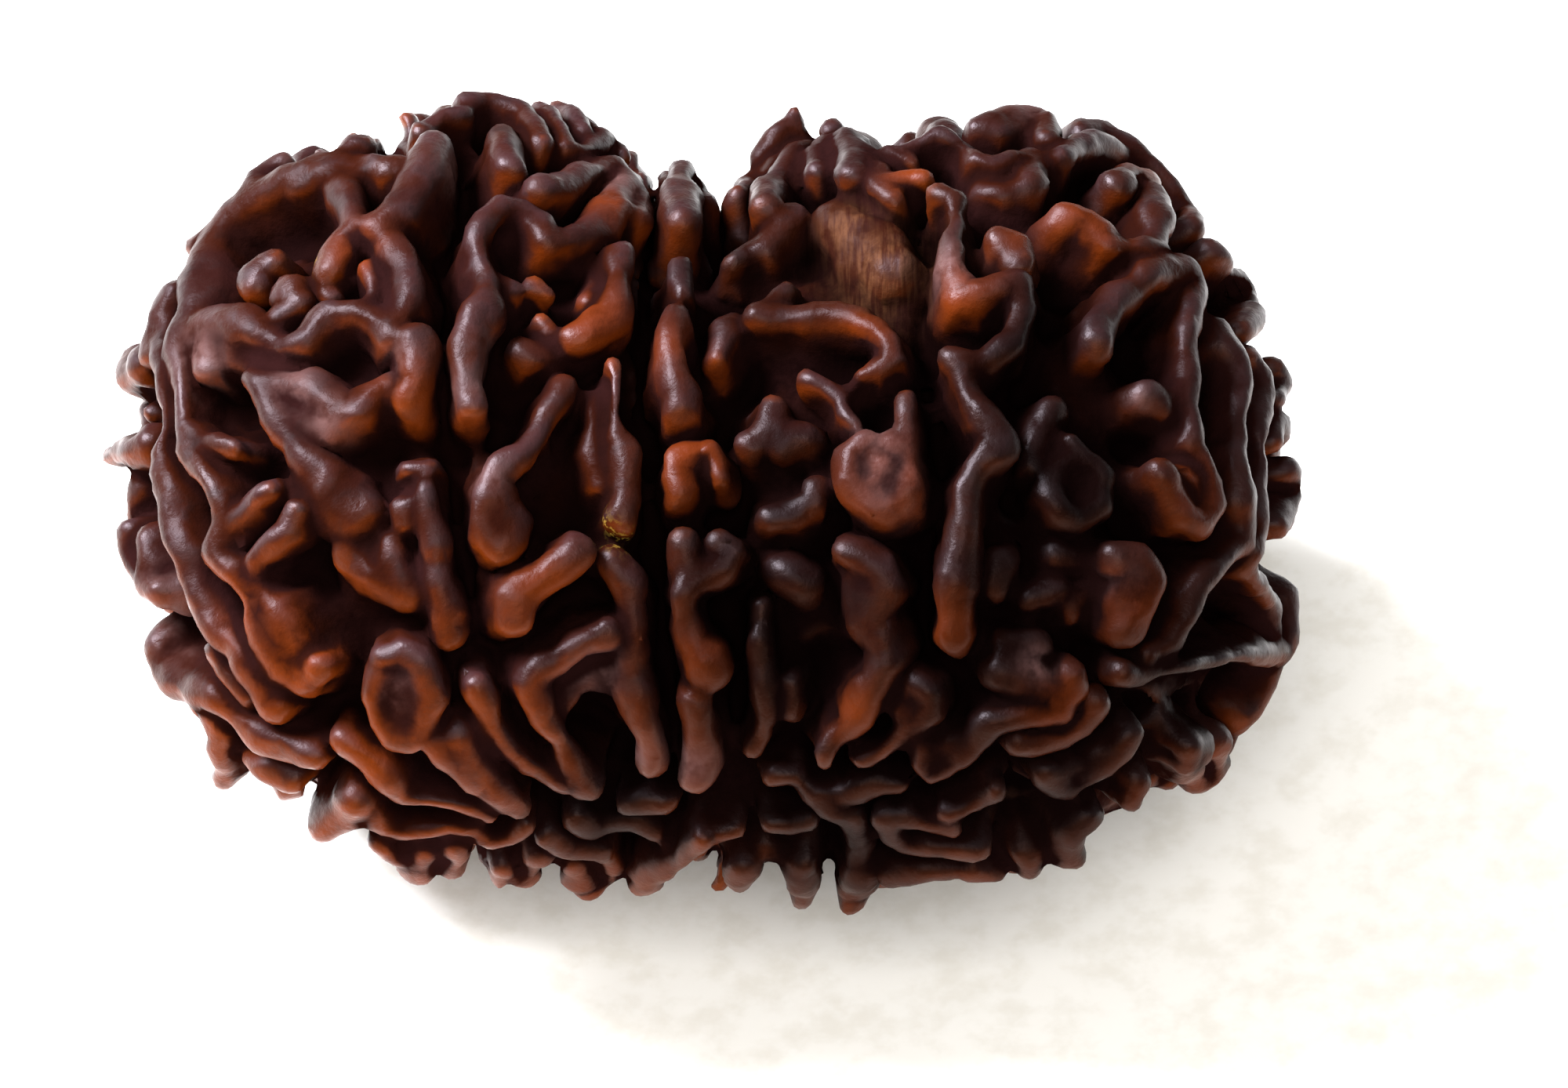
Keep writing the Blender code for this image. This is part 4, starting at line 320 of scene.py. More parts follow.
# Ridges read off the photo, a list for each part of the bead. Each one has its height over the
# body, then points along it: millimetres right of the middle, millimetres up, and half width.
LEFT_EDGE_RIDGES = [
    (1.50, [(-10.5, 9.7, 0.55), (-11.4, 9.6, 0.6), (-12.4, 9.4, 0.6), (-13.3, 8.95, 0.6),
            (-14.1, 8.4, 0.6), (-14.7, 7.7, 0.6), (-14.95, 6.9, 0.6), (-15.0, 6.1, 0.6),
            (-15.2, 5.4, 0.55), (-15.6, 4.7, 0.45), (-15.75, 3.9, 0.35), (-15.7, 3.1, 0.3),
            (-15.75, 2.3, 0.3), (-15.6, 1.6, 0.3), (-15.2, 1.0, 0.32), (-14.8, 0.45, 0.32),
            (-14.5, -0.2, 0.35), (-14.55, -0.9, 0.35), (-14.65, -1.4, 0.4), (-14.45, -1.85, 0.38),
            (-14.0, -2.35, 0.38), (-13.7, -3.0, 0.38), (-13.4, -3.7, 0.42), (-12.95, -4.4, 0.5),
            (-12.5, -5.0, 0.6), (-11.9, -5.15, 0.65), (-11.5, -5.0, 0.5)]),
    (1.45, [(-16.2, 5.6, 0.4), (-16.2, 4.8, 0.4), (-16.15, 3.9, 0.35), (-16.2, 3.0, 0.3),
            (-16.15, 2.2, 0.3), (-16.3, 1.4, 0.38), (-16.1, 0.8, 0.52), (-15.85, 0.0, 0.55),
            (-15.7, -0.8, 0.52), (-15.5, -1.6, 0.48), (-15.4, -2.3, 0.42), (-15.1, -2.9, 0.48),
            (-14.65, -3.5, 0.5), (-14.1, -4.2, 0.5), (-13.6, -4.8, 0.48), (-13.1, -5.5, 0.48),
            (-12.75, -6.1, 0.48)]),
    (1.40, [(-13.0, 0.25, 0.3), (-13.5, -0.1, 0.32), (-13.95, -0.5, 0.35), (-14.4, -1.0, 0.4)]),
    (1.00, [(-13.3, -0.4, 0.35), (-13.7, -0.9, 0.4), (-14.1, -1.3, 0.4)]),
    (1.40, [(-12.3, -0.3, 0.32), (-12.5, -0.9, 0.32), (-12.9, -1.4, 0.32), (-13.3, -1.9, 0.36),
            (-13.45, -2.4, 0.42), (-13.2, -2.9, 0.48), (-12.8, -3.3, 0.58), (-12.45, -3.9, 0.74),
            (-12.15, -4.4, 0.84), (-12.05, -4.7, 0.8)]),
    (1.50, [(-15.85, 6.05, 0.42), (-16.15, 5.5, 0.42), (-16.4, 4.9, 0.4), (-16.5, 4.4, 0.4)]),
    (1.30, [(-17.15, 3.85, 0.42), (-16.6, 4.0, 0.5)]),
    (1.50, [(-17.85, 1.38, 0.3), (-17.45, 1.4, 0.42), (-16.9, 1.5, 0.52), (-16.7, 1.6, 0.6)]),
    (1.00, [(-16.9, 0.4, 0.45), (-17.0, -0.4, 0.45)]),
    (1.45, [(-17.25, -1.0, 0.4), (-17.2, -1.6, 0.4), (-16.9, -2.2, 0.45), (-16.3, -2.8, 0.5)]),
    (1.35, [(-16.7, -1.3, 0.5), (-16.5, -1.9, 0.55)]),
    (1.40, [(-15.3, 7.55, 0.35), (-14.9, 7.9, 0.4)]),
    (1.50, [(-12.75, 10.05, 0.45), (-13.2, 9.7, 0.5), (-13.5, 9.3, 0.4)]),
    (1.45, [(-10.4, 10.4, 0.42), (-11.0, 10.15, 0.4), (-11.6, 9.95, 0.35)]),
    (1.50, [(-16.4, -4.4, 0.55), (-16.05, -5.0, 0.58), (-15.4, -5.6, 0.52), (-14.5, -5.95, 0.45),
            (-13.95, -6.5, 0.4), (-13.3, -6.95, 0.4), (-12.5, -7.35, 0.4), (-11.7, -7.6, 0.35)]),
    (1.15, [(-16.0, -4.5, 0.6), (-15.4, -5.0, 0.72), (-14.7, -5.6, 0.66), (-14.0, -6.2, 0.5)]),
    (1.20, [(-14.6, -4.6, 0.3), (-14.1, -5.3, 0.35), (-13.6, -5.9, 0.3)]),
    (1.60, [(-14.45, -8.35, 0.36), (-14.5, -7.8, 0.42), (-14.5, -7.1, 0.44), (-14.7, -6.6, 0.46)]),
    (1.30, [(-13.6, -7.75, 0.35), (-12.9, -8.0, 0.4), (-12.35, -8.3, 0.36)]),
    (1.60, [(-11.3, -9.5, 0.55), (-10.8, -9.3, 0.5), (-10.5, -8.9, 0.4)]),
    (1.50, [(-10.0, 9.9, 0.42), (-9.55, 9.75, 0.46)]),
    (1.20, [(-15.2, 4.5, 0.6), (-14.5, 4.2, 0.66), (-13.9, 4.4, 0.5)]),
]
LEFT_STONE_RIDGES = [
    (1.30, [(-13.5, 6.4, 0.42), (-13.4, 6.75, 0.45), (-13.0, 7.05, 0.35)]),
    (1.30, [(-12.4, 6.15, 0.45), (-12.3, 5.8, 0.38), (-12.75, 5.45, 0.3)]),
    (1.30, [(-11.3, 6.8, 0.44), (-10.9, 7.4, 0.54), (-10.6, 7.85, 0.44)]),
    (0.80, [(-11.6, 6.4, 0.22), (-11.2, 6.0, 0.22)]),
    (1.30, [(-10.9, 9.1, 0.5), (-10.7, 8.5, 0.42), (-10.4, 8.0, 0.38)]),
    (1.10, [(-10.2, 6.9, 0.25), (-9.95, 6.3, 0.28), (-10.1, 5.9, 0.25)]),
    (1.45, [(-15.1, 4.9, 0.5), (-14.4, 5.15, 0.5), (-13.8, 5.0, 0.55), (-13.2, 4.7, 0.5),
            (-12.6, 4.5, 0.45), (-12.1, 4.65, 0.42), (-11.6, 5.1, 0.45), (-11.1, 5.4, 0.45),
            (-10.4, 5.5, 0.45), (-9.8, 5.3, 0.45), (-9.4, 4.8, 0.4)]),
    (1.30, [(-14.6, 4.5, 0.5), (-14.8, 3.85, 0.42)]),
    (1.10, [(-14.0, 4.2, 0.4), (-13.4, 3.9, 0.4)]),
    (1.25, [(-13.5, 3.6, 0.35), (-12.8, 3.45, 0.5), (-12.2, 3.3, 0.5), (-11.6, 3.1, 0.5),
            (-11.0, 2.6, 0.5), (-10.6, 2.4, 0.5), (-10.0, 2.8, 0.5), (-9.4, 3.15, 0.5),
            (-9.0, 3.0, 0.42)]),
    (1.20, [(-13.2, 3.3, 0.35), (-12.9, 2.7, 0.35), (-12.7, 2.0, 0.38), (-12.3, 1.4, 0.42),
            (-11.8, 0.9, 0.5), (-11.4, 0.5, 0.6)]),
    (1.05, [(-12.4, 2.4, 0.5), (-11.7, 2.2, 0.62), (-11.0, 2.1, 0.58)]),
    (0.95, [(-11.5, 0.2, 0.8), (-10.8, -0.2, 0.9), (-10.3, -0.6, 0.8)]),
    (1.25, [(-15.3, 1.9, 0.3), (-15.0, 1.55, 0.34), (-14.5, 1.6, 0.36), (-14.1, 1.5, 0.36)]),
    (1.00, [(-15.1, 1.2, 0.3), (-14.6, 0.9, 0.4), (-14.3, 0.4, 0.4), (-14.2, 0.0, 0.35)]),
    (0.85, [(-10.6, -1.7, 0.5), (-9.9, -2.2, 0.6), (-9.2, -2.6, 0.6)]),
    (1.50, [(-9.9, 8.0, 0.45), (-9.2, 8.4, 0.5), (-8.8, 9.1, 0.5), (-8.4, 9.8, 0.5),
            (-8.15, 10.4, 0.42)]),
    (1.45, [(-9.7, 8.0, 0.4), (-9.4, 7.4, 0.5), (-9.05, 6.9, 0.5), (-8.95, 6.3, 0.5),
            (-9.0, 5.7, 0.5), (-9.3, 5.3, 0.42)]),
    (1.50, [(-8.7, 4.6, 0.48), (-8.7, 4.1, 0.45), (-8.7, 3.4, 0.45), (-8.9, 2.9, 0.5)]),
    (0.95, [(-8.3, 0.95, 0.3), (-9.0, 0.9, 0.32)]),
    (1.00, [(-8.4, 0.2, 0.4), (-8.3, -0.6, 0.4), (-8.1, -1.3, 0.4), (-8.1, -2.2, 0.42),
            (-7.9, -3.0, 0.45), (-7.75, -3.6, 0.5), (-7.65, -3.95, 0.45)]),
    (0.90, [(-9.0, -0.2, 0.32), (-9.0, -0.75, 0.32)]),
    (0.90, [(-9.4, -1.5, 0.42), (-9.2, -2.2, 0.5), (-8.8, -2.8, 0.5)]),
    (1.45, [(-8.6, 11.05, 0.4), (-8.0, 11.3, 0.4), (-7.4, 11.4, 0.4)]),
    (1.55, [(-7.2, 11.75, 0.4), (-6.6, 11.85, 0.36), (-6.0, 11.7, 0.35)]),
    (1.50, [(-5.65, 11.6, 0.32), (-5.3, 11.2, 0.34), (-5.0, 10.7, 0.3)]),
    (1.50, [(-5.1, 11.75, 0.26), (-4.75, 11.45, 0.3), (-4.4, 11.0, 0.3), (-4.2, 10.6, 0.28)]),
    (1.45, [(-4.5, 11.7, 0.25), (-4.1, 11.4, 0.28), (-3.8, 11.05, 0.25)]),
    (1.40, [(-3.9, 11.4, 0.25), (-3.5, 11.15, 0.3), (-3.3, 10.9, 0.25)]),
    (1.50, [(-6.2, 10.85, 0.5), (-6.1, 10.2, 0.5), (-5.9, 9.8, 0.4)]),
    (1.45, [(-6.2, 8.6, 0.38), (-6.7, 8.2, 0.38), (-6.95, 7.6, 0.4), (-6.85, 7.0, 0.4),
            (-6.6, 6.5, 0.4), (-6.6, 6.0, 0.4), (-6.9, 5.4, 0.4), (-7.1, 4.7, 0.4),
            (-7.1, 3.9, 0.4), (-7.05, 3.2, 0.42), (-7.0, 2.75, 0.38)]),
    (1.40, [(-6.2, 8.6, 0.4), (-5.6, 8.45, 0.45), (-5.1, 8.1, 0.45), (-4.8, 7.6, 0.4),
            (-4.4, 7.6, 0.38), (-3.8, 7.7, 0.4), (-3.2, 8.1, 0.45), (-2.9, 8.6, 0.5),
            (-2.7, 9.1, 0.45), (-2.55, 9.6, 0.4), (-2.8, 9.95, 0.38), (-3.4, 9.8, 0.4),
            (-4.0, 9.55, 0.4), (-4.6, 9.35, 0.4), (-5.15, 9.2, 0.32)]),
    (1.20, [(-2.3, 9.5, 0.36), (-2.1, 8.9, 0.38), (-2.2, 8.3, 0.35)]),
    (1.35, [(-3.9, 10.4, 0.28), (-3.3, 10.6, 0.34), (-2.8, 10.6, 0.3), (-2.55, 10.3, 0.28)]),
    (1.50, [(-2.65, 7.2, 0.42), (-2.6, 6.6, 0.45), (-2.6, 6.0, 0.45), (-2.8, 5.4, 0.5),
            (-3.4, 5.0, 0.5), (-3.95, 4.8, 0.42)]),
    (0.90, [(-3.2, 6.6, 0.4), (-3.6, 5.8, 0.42)]),
    (0.80, [(-5.2, 6.3, 0.25), (-4.8, 6.1, 0.22)]),
    (0.90, [(-6.3, 6.4, 0.3), (-5.9, 6.2, 0.3)]),
    (0.85, [(-4.9, 5.2, 0.28), (-4.6, 4.7, 0.28)]),
    (0.75, [(-5.4, 4.2, 0.5), (-4.6, 4.2, 0.5)]),
    (1.10, [(-4.2, 3.4, 0.4), (-4.7, 2.6, 0.4), (-5.0, 1.9, 0.36), (-5.5, 1.3, 0.32),
            (-5.9, 1.0, 0.32), (-6.3, 0.7, 0.36), (-6.6, 0.1, 0.36), (-6.75, -0.5, 0.34),
            (-6.6, -1.1, 0.36), (-6.2, -1.4, 0.36), (-5.85, -1.2, 0.4), (-5.7, -0.6, 0.42)]),
    (1.10, [(-6.2, -0.2, 0.55), (-6.05, -0.9, 0.62)]),
    (1.35, [(-2.8, 3.9, 0.24), (-2.75, 3.2, 0.22), (-2.8, 2.5, 0.26), (-2.75, 1.9, 0.34),
            (-2.6, 1.35, 0.5), (-2.5, 0.6, 0.5), (-2.4, -0.1, 0.45), (-2.5, -0.6, 0.4)]),
    (0.90, [(-3.35, 3.0, 0.35), (-3.3, 2.2, 0.32), (-3.35, 1.4, 0.38), (-3.15, 0.5, 0.36)]),
    (1.55, [(-3.9, -1.6, 0.42), (-4.4, -1.95, 0.42), (-4.9, -2.35, 0.45), (-5.4, -2.7, 0.5),
            (-5.75, -3.1, 0.52), (-5.8, -3.6, 0.5)]),
    (1.20, [(-2.8, -1.9, 0.4), (-2.4, -2.5, 0.42), (-2.2, -3.2, 0.4), (-2.2, -4.0, 0.4),
            (-2.3, -4.7, 0.42), (-2.3, -5.3, 0.45), (-2.1, -6.0, 0.4), (-1.85, -6.6, 0.36),
            (-1.65, -7.3, 0.35), (-1.65, -7.8, 0.34)]),
    (1.45, [(-3.0, -4.0, 0.4), (-3.8, -4.35, 0.4), (-4.4, -4.8, 0.42), (-5.0, -5.1, 0.45),
            (-5.3, -5.45, 0.48), (-5.1, -6.0, 0.42), (-4.9, -6.5, 0.35), (-4.6, -7.0, 0.34),
            (-4.25, -7.5, 0.34), (-3.9, -8.0, 0.36), (-3.55, -8.5, 0.4)]),
    (1.00, [(-2.7, -4.9, 0.62), (-3.5, -5.1, 0.58), (-4.1, -5.5, 0.46), (-4.4, -6.3, 0.36)]),
    (1.35, [(-6.75, -5.55, 0.38), (-6.6, -6.1, 0.4), (-6.45, -6.7, 0.4), (-6.15, -7.1, 0.4),
            (-5.8, -7.5, 0.38), (-5.3, -7.9, 0.36), (-4.8, -8.2, 0.34), (-4.4, -8.4, 0.3)]),
    (1.30, [(-8.1, -7.2, 0.32), (-7.7, -7.6, 0.38), (-7.3, -8.0, 0.34), (-7.0, -8.45, 0.3)]),
    (1.40, [(-7.4, -7.0, 0.45), (-7.0, -7.7, 0.45), (-6.6, -8.25, 0.42), (-6.15, -8.75, 0.48),
            (-5.75, -9.05, 0.42)]),
    (1.35, [(-9.75, -5.2, 0.38), (-9.9, -5.9, 0.4), (-9.7, -6.5, 0.38), (-9.3, -6.95, 0.38),
            (-8.85, -7.0, 0.36), (-8.5, -6.6, 0.38), (-8.35, -6.0, 0.38), (-8.4, -5.4, 0.38),
            (-8.65, -4.8, 0.38), (-9.2, -4.5, 0.36), (-9.65, -4.7, 0.36)]),
    (1.28, [(-9.0, -5.3, 0.6), (-9.1, -6.2, 0.66)]),
    (1.30, [(-10.9, -7.1, 0.38), (-10.5, -7.4, 0.45), (-10.0, -7.85, 0.42), (-9.5, -8.4, 0.36),
            (-9.0, -8.85, 0.34), (-8.3, -9.0, 0.32), (-7.6, -9.1, 0.32), (-6.9, -9.25, 0.32),
            (-6.5, -9.5, 0.3)]),
    (1.30, [(-10.2, -9.0, 0.38), (-9.8, -9.45, 0.45), (-9.2, -9.8, 0.45), (-8.4, -9.8, 0.4),
            (-7.6, -9.75, 0.35), (-7.0, -9.8, 0.35), (-6.5, -10.15, 0.34), (-5.95, -10.0, 0.34),
            (-5.5, -9.75, 0.3)]),
    (1.45, [(-9.7, -10.25, 0.43), (-9.2, -10.65, 0.4)]),
    (1.50, [(-8.7, -10.75, 0.58), (-8.4, -10.4, 0.56)]),
    (1.45, [(-7.6, -10.85, 0.46), (-7.6, -10.3, 0.42)]),
    (1.50, [(-6.3, -11.25, 0.34), (-6.1, -10.95, 0.46), (-5.5, -11.0, 0.5), (-5.0, -10.6, 0.46)]),
    (1.30, [(-4.9, -10.05, 0.3), (-4.3, -10.35, 0.32), (-3.7, -10.4, 0.3), (-3.2, -10.4, 0.35),
            (-2.85, -10.9, 0.3), (-2.8, -11.35, 0.26)]),
    (1.60, [(-4.0, -10.9, 0.48), (-3.65, -11.2, 0.53), (-3.5, -11.55, 0.42)]),
    (1.10, [(-3.9, -9.5, 0.3), (-3.3, -9.7, 0.35), (-2.6, -9.6, 0.38), (-2.0, -9.7, 0.34)]),
    (1.10, [(-2.4, -9.1, 0.25), (-1.7, -9.0, 0.25), (-1.2, -9.1, 0.25)]),
]
MIDDLE_RIDGES = [
    (1.55, [(-2.0, -11.5, 0.34), (-1.8, -11.1, 0.45), (-1.2, -10.9, 0.42), (-0.7, -10.55, 0.36),
            (-0.2, -10.1, 0.3)]),
    (1.20, [(-1.6, -10.0, 0.3), (-1.2, -10.3, 0.3), (-0.7, -10.3, 0.3), (-0.2, -10.0, 0.3),
            (0.4, -9.8, 0.3), (0.9, -9.8, 0.26)]),
    (1.60, [(-0.8, 10.0, 0.34), (-0.85, 9.3, 0.5), (-0.8, 8.6, 0.48), (-0.75, 8.2, 0.38)]),
    (1.20, [(-0.4, 9.4, 0.32), (-0.15, 8.9, 0.3)]),
    (1.30, [(-0.85, 6.85, 0.34), (-0.8, 6.4, 0.38), (-0.75, 6.1, 0.32)]),
    (1.50, [(-0.95, 5.5, 0.42), (-0.95, 5.1, 0.45), (-1.1, 4.5, 0.36), (-1.1, 3.9, 0.36),
            (-1.0, 3.4, 0.42), (-0.75, 2.95, 0.52), (-0.75, 2.6, 0.48)]),
    (1.20, [(-0.9, 0.1, 0.36), (-0.95, 0.6, 0.42), (-0.75, 1.05, 0.42), (-0.35, 1.3, 0.4),
            (0.05, 1.5, 0.32), (0.3, 1.0, 0.34), (0.4, 0.55, 0.28)]),
    (1.15, [(-0.65, 0.95, 0.5), (-0.6, 0.4, 0.42)]),
    (1.45, [(-0.7, -1.25, 0.34), (-0.6, -1.8, 0.4), (-0.5, -2.4, 0.42), (-0.7, -3.0, 0.36),
            (-0.6, -3.7, 0.4), (-0.4, -4.2, 0.42), (-0.1, -4.7, 0.5), (0.05, -5.15, 0.5)]),
    (1.35, [(0.4, -1.4, 0.38), (0.8, -1.6, 0.34), (0.5, -2.05, 0.36), (-0.1, -2.3, 0.4)]),
    (1.30, [(-0.3, -6.0, 0.4), (-0.25, -6.7, 0.45), (-0.15, -7.4, 0.5), (-0.15, -7.9, 0.5),
            (-0.35, -8.4, 0.4)]),
    (0.90, [(1.6, -3.2, 0.3), (1.65, -4.2, 0.32), (1.7, -5.2, 0.32), (1.75, -6.2, 0.32),
            (1.6, -7.0, 0.36), (1.35, -7.4, 0.34)]),
    (0.70, [(2.5, -5.5, 0.32), (2.5, -6.3, 0.34)]),
    (0.70, [(2.0, 2.7, 0.34), (1.95, 2.1, 0.42), (1.3, 1.6, 0.4)]),
    (0.60, [(2.3, 1.5, 0.5), (2.8, 1.7, 0.45)]),
    (0.80, [(1.9, -0.6, 0.38), (2.6, -0.5, 0.42), (3.2, -0.2, 0.36), (3.35, 0.3, 0.34)]),
    (0.60, [(2.2, -2.2, 0.45), (3.0, -2.6, 0.45)]),
    (0.90, [(2.0, -8.3, 0.26), (2.6, -8.25, 0.28), (2.95, -8.6, 0.28)]),
    (1.55, [(1.0, -10.8, 0.5), (1.0, -11.3, 0.46)]),
    (1.10, [(1.8, -10.3, 0.4), (2.4, -10.4, 0.4)]),
    (1.60, [(2.9, -10.7, 0.52), (2.9, -11.4, 0.5), (2.85, -11.95, 0.38)]),
    (1.60, [(4.5, -10.9, 0.6), (4.4, -11.5, 0.6), (4.3, -11.95, 0.44)]),
    (1.20, [(1.9, -9.7, 0.3), (2.5, -9.75, 0.3), (3.05, -9.6, 0.3)]),
    (1.10, [(3.2, -8.75, 0.28), (3.8, -8.8, 0.3), (4.5, -8.6, 0.3), (5.2, -8.4, 0.3),
            (5.8, -8.5, 0.3)]),
    (1.30, [(3.6, -9.2, 0.3), (4.2, -9.4, 0.4), (4.6, -9.9, 0.48), (4.5, -10.4, 0.48)]),
]
VALLEY_EDGE_RIDGES = [
    (1.65, [(2.65, 11.65, 0.26), (2.45, 11.2, 0.38), (2.1, 10.7, 0.46), (1.75, 10.2, 0.45)]),
    (1.50, [(3.8, 11.3, 0.28), (3.8, 11.0, 0.3)]),
    (1.55, [(4.2, 10.8, 0.46), (4.25, 10.4, 0.54), (4.4, 10.0, 0.5), (4.35, 9.6, 0.44)]),
    (1.45, [(3.6, 10.6, 0.4), (3.35, 10.3, 0.44), (3.3, 9.8, 0.44)]),
    (1.45, [(2.8, 10.3, 0.42), (2.5, 9.85, 0.46), (2.1, 9.4, 0.45), (1.85, 8.9, 0.42),
            (1.75, 8.6, 0.34)]),
    (1.30, [(1.9, 9.8, 0.3), (1.35, 9.5, 0.38), (0.95, 9.1, 0.34)]),
    (1.20, [(4.9, 10.2, 0.4), (5.1, 9.7, 0.4), (5.2, 9.2, 0.36), (5.6, 9.0, 0.34)]),
    (1.10, [(5.5, 10.15, 0.3), (6.2, 10.1, 0.3)]),
    (1.25, [(5.6, 9.4, 0.34), (6.1, 9.5, 0.36), (6.5, 9.55, 0.32)]),
    (1.05, [(2.55, 8.3, 0.42), (2.2, 7.9, 0.42), (1.7, 7.5, 0.38)]),
    (0.80, [(0.8, 7.0, 0.34), (1.3, 7.2, 0.4), (1.8, 7.5, 0.4)]),
    (0.80, [(4.2, 8.0, 0.9), (5.0, 7.2, 1.0), (5.7, 6.6, 0.8)]),
    (1.05, [(2.4, 6.4, 0.3), (2.3, 6.0, 0.36), (2.0, 5.65, 0.4)]),
    (0.90, [(0.6, 5.2, 0.42), (0.65, 4.7, 0.42), (0.3, 4.2, 0.3)]),
    (1.30, [(1.6, 5.4, 0.45), (2.2, 5.3, 0.55), (3.0, 5.25, 0.6), (3.8, 5.3, 0.6),
            (4.5, 5.2, 0.5), (5.1, 4.95, 0.45), (5.45, 4.5, 0.45), (5.5, 4.0, 0.54),
            (5.1, 3.7, 0.6), (4.8, 3.6, 0.5)]),
    (1.20, [(3.1, 3.6, 0.34), (3.6, 3.35, 0.34), (4.05, 3.0, 0.38), (4.15, 2.6, 0.34),
            (4.4, 2.25, 0.3)]),
    (1.50, [(5.95, 3.0, 0.38), (6.0, 2.2, 0.34), (6.0, 1.4, 0.38), (6.0, 0.6, 0.42),
            (5.85, -0.1, 0.5), (5.3, -0.35, 0.52), (4.75, 0.0, 0.48), (4.3, 0.6, 0.42),
            (4.25, 1.2, 0.4), (4.7, 1.65, 0.36)]),
    (1.55, [(5.6, 1.5, 0.48), (5.3, 0.95, 0.66), (5.2, 0.5, 0.72)]),
    (1.40, [(4.2, -1.55, 0.34), (4.7, -1.8, 0.38), (5.15, -2.05, 0.4), (5.35, -2.6, 0.45),
            (5.15, -3.1, 0.4), (5.05, -3.55, 0.42), (5.3, -3.95, 0.5), (5.45, -4.4, 0.45)]),
    (1.15, [(4.7, -2.3, 0.48), (4.8, -3.0, 0.54), (4.85, -3.7, 0.48)]),
    (1.40, [(5.35, -4.95, 0.36), (5.2, -5.4, 0.34), (4.8, -5.95, 0.45), (4.5, -6.4, 0.48),
            (4.25, -6.8, 0.42), (3.8, -7.1, 0.38), (3.5, -7.5, 0.34), (3.5, -7.8, 0.26)]),
    (1.25, [(4.5, -7.8, 0.26), (5.2, -7.6, 0.3), (5.7, -7.2, 0.32), (6.1, -6.75, 0.36),
            (6.6, -6.4, 0.38), (6.6, -5.8, 0.38), (6.2, -5.6, 0.34)]),
    (1.25, [(6.05, -6.1, 0.6), (6.45, -6.1, 0.6)]),
    (1.20, [(6.4, -7.3, 0.34), (6.35, -7.9, 0.34), (6.7, -8.35, 0.34), (7.1, -8.15, 0.34),
            (7.5, -7.8, 0.34), (7.9, -7.35, 0.34), (8.2, -6.9, 0.34)]),
    (1.15, [(6.8, -7.5, 0.56), (7.3, -7.25, 0.56)]),
]
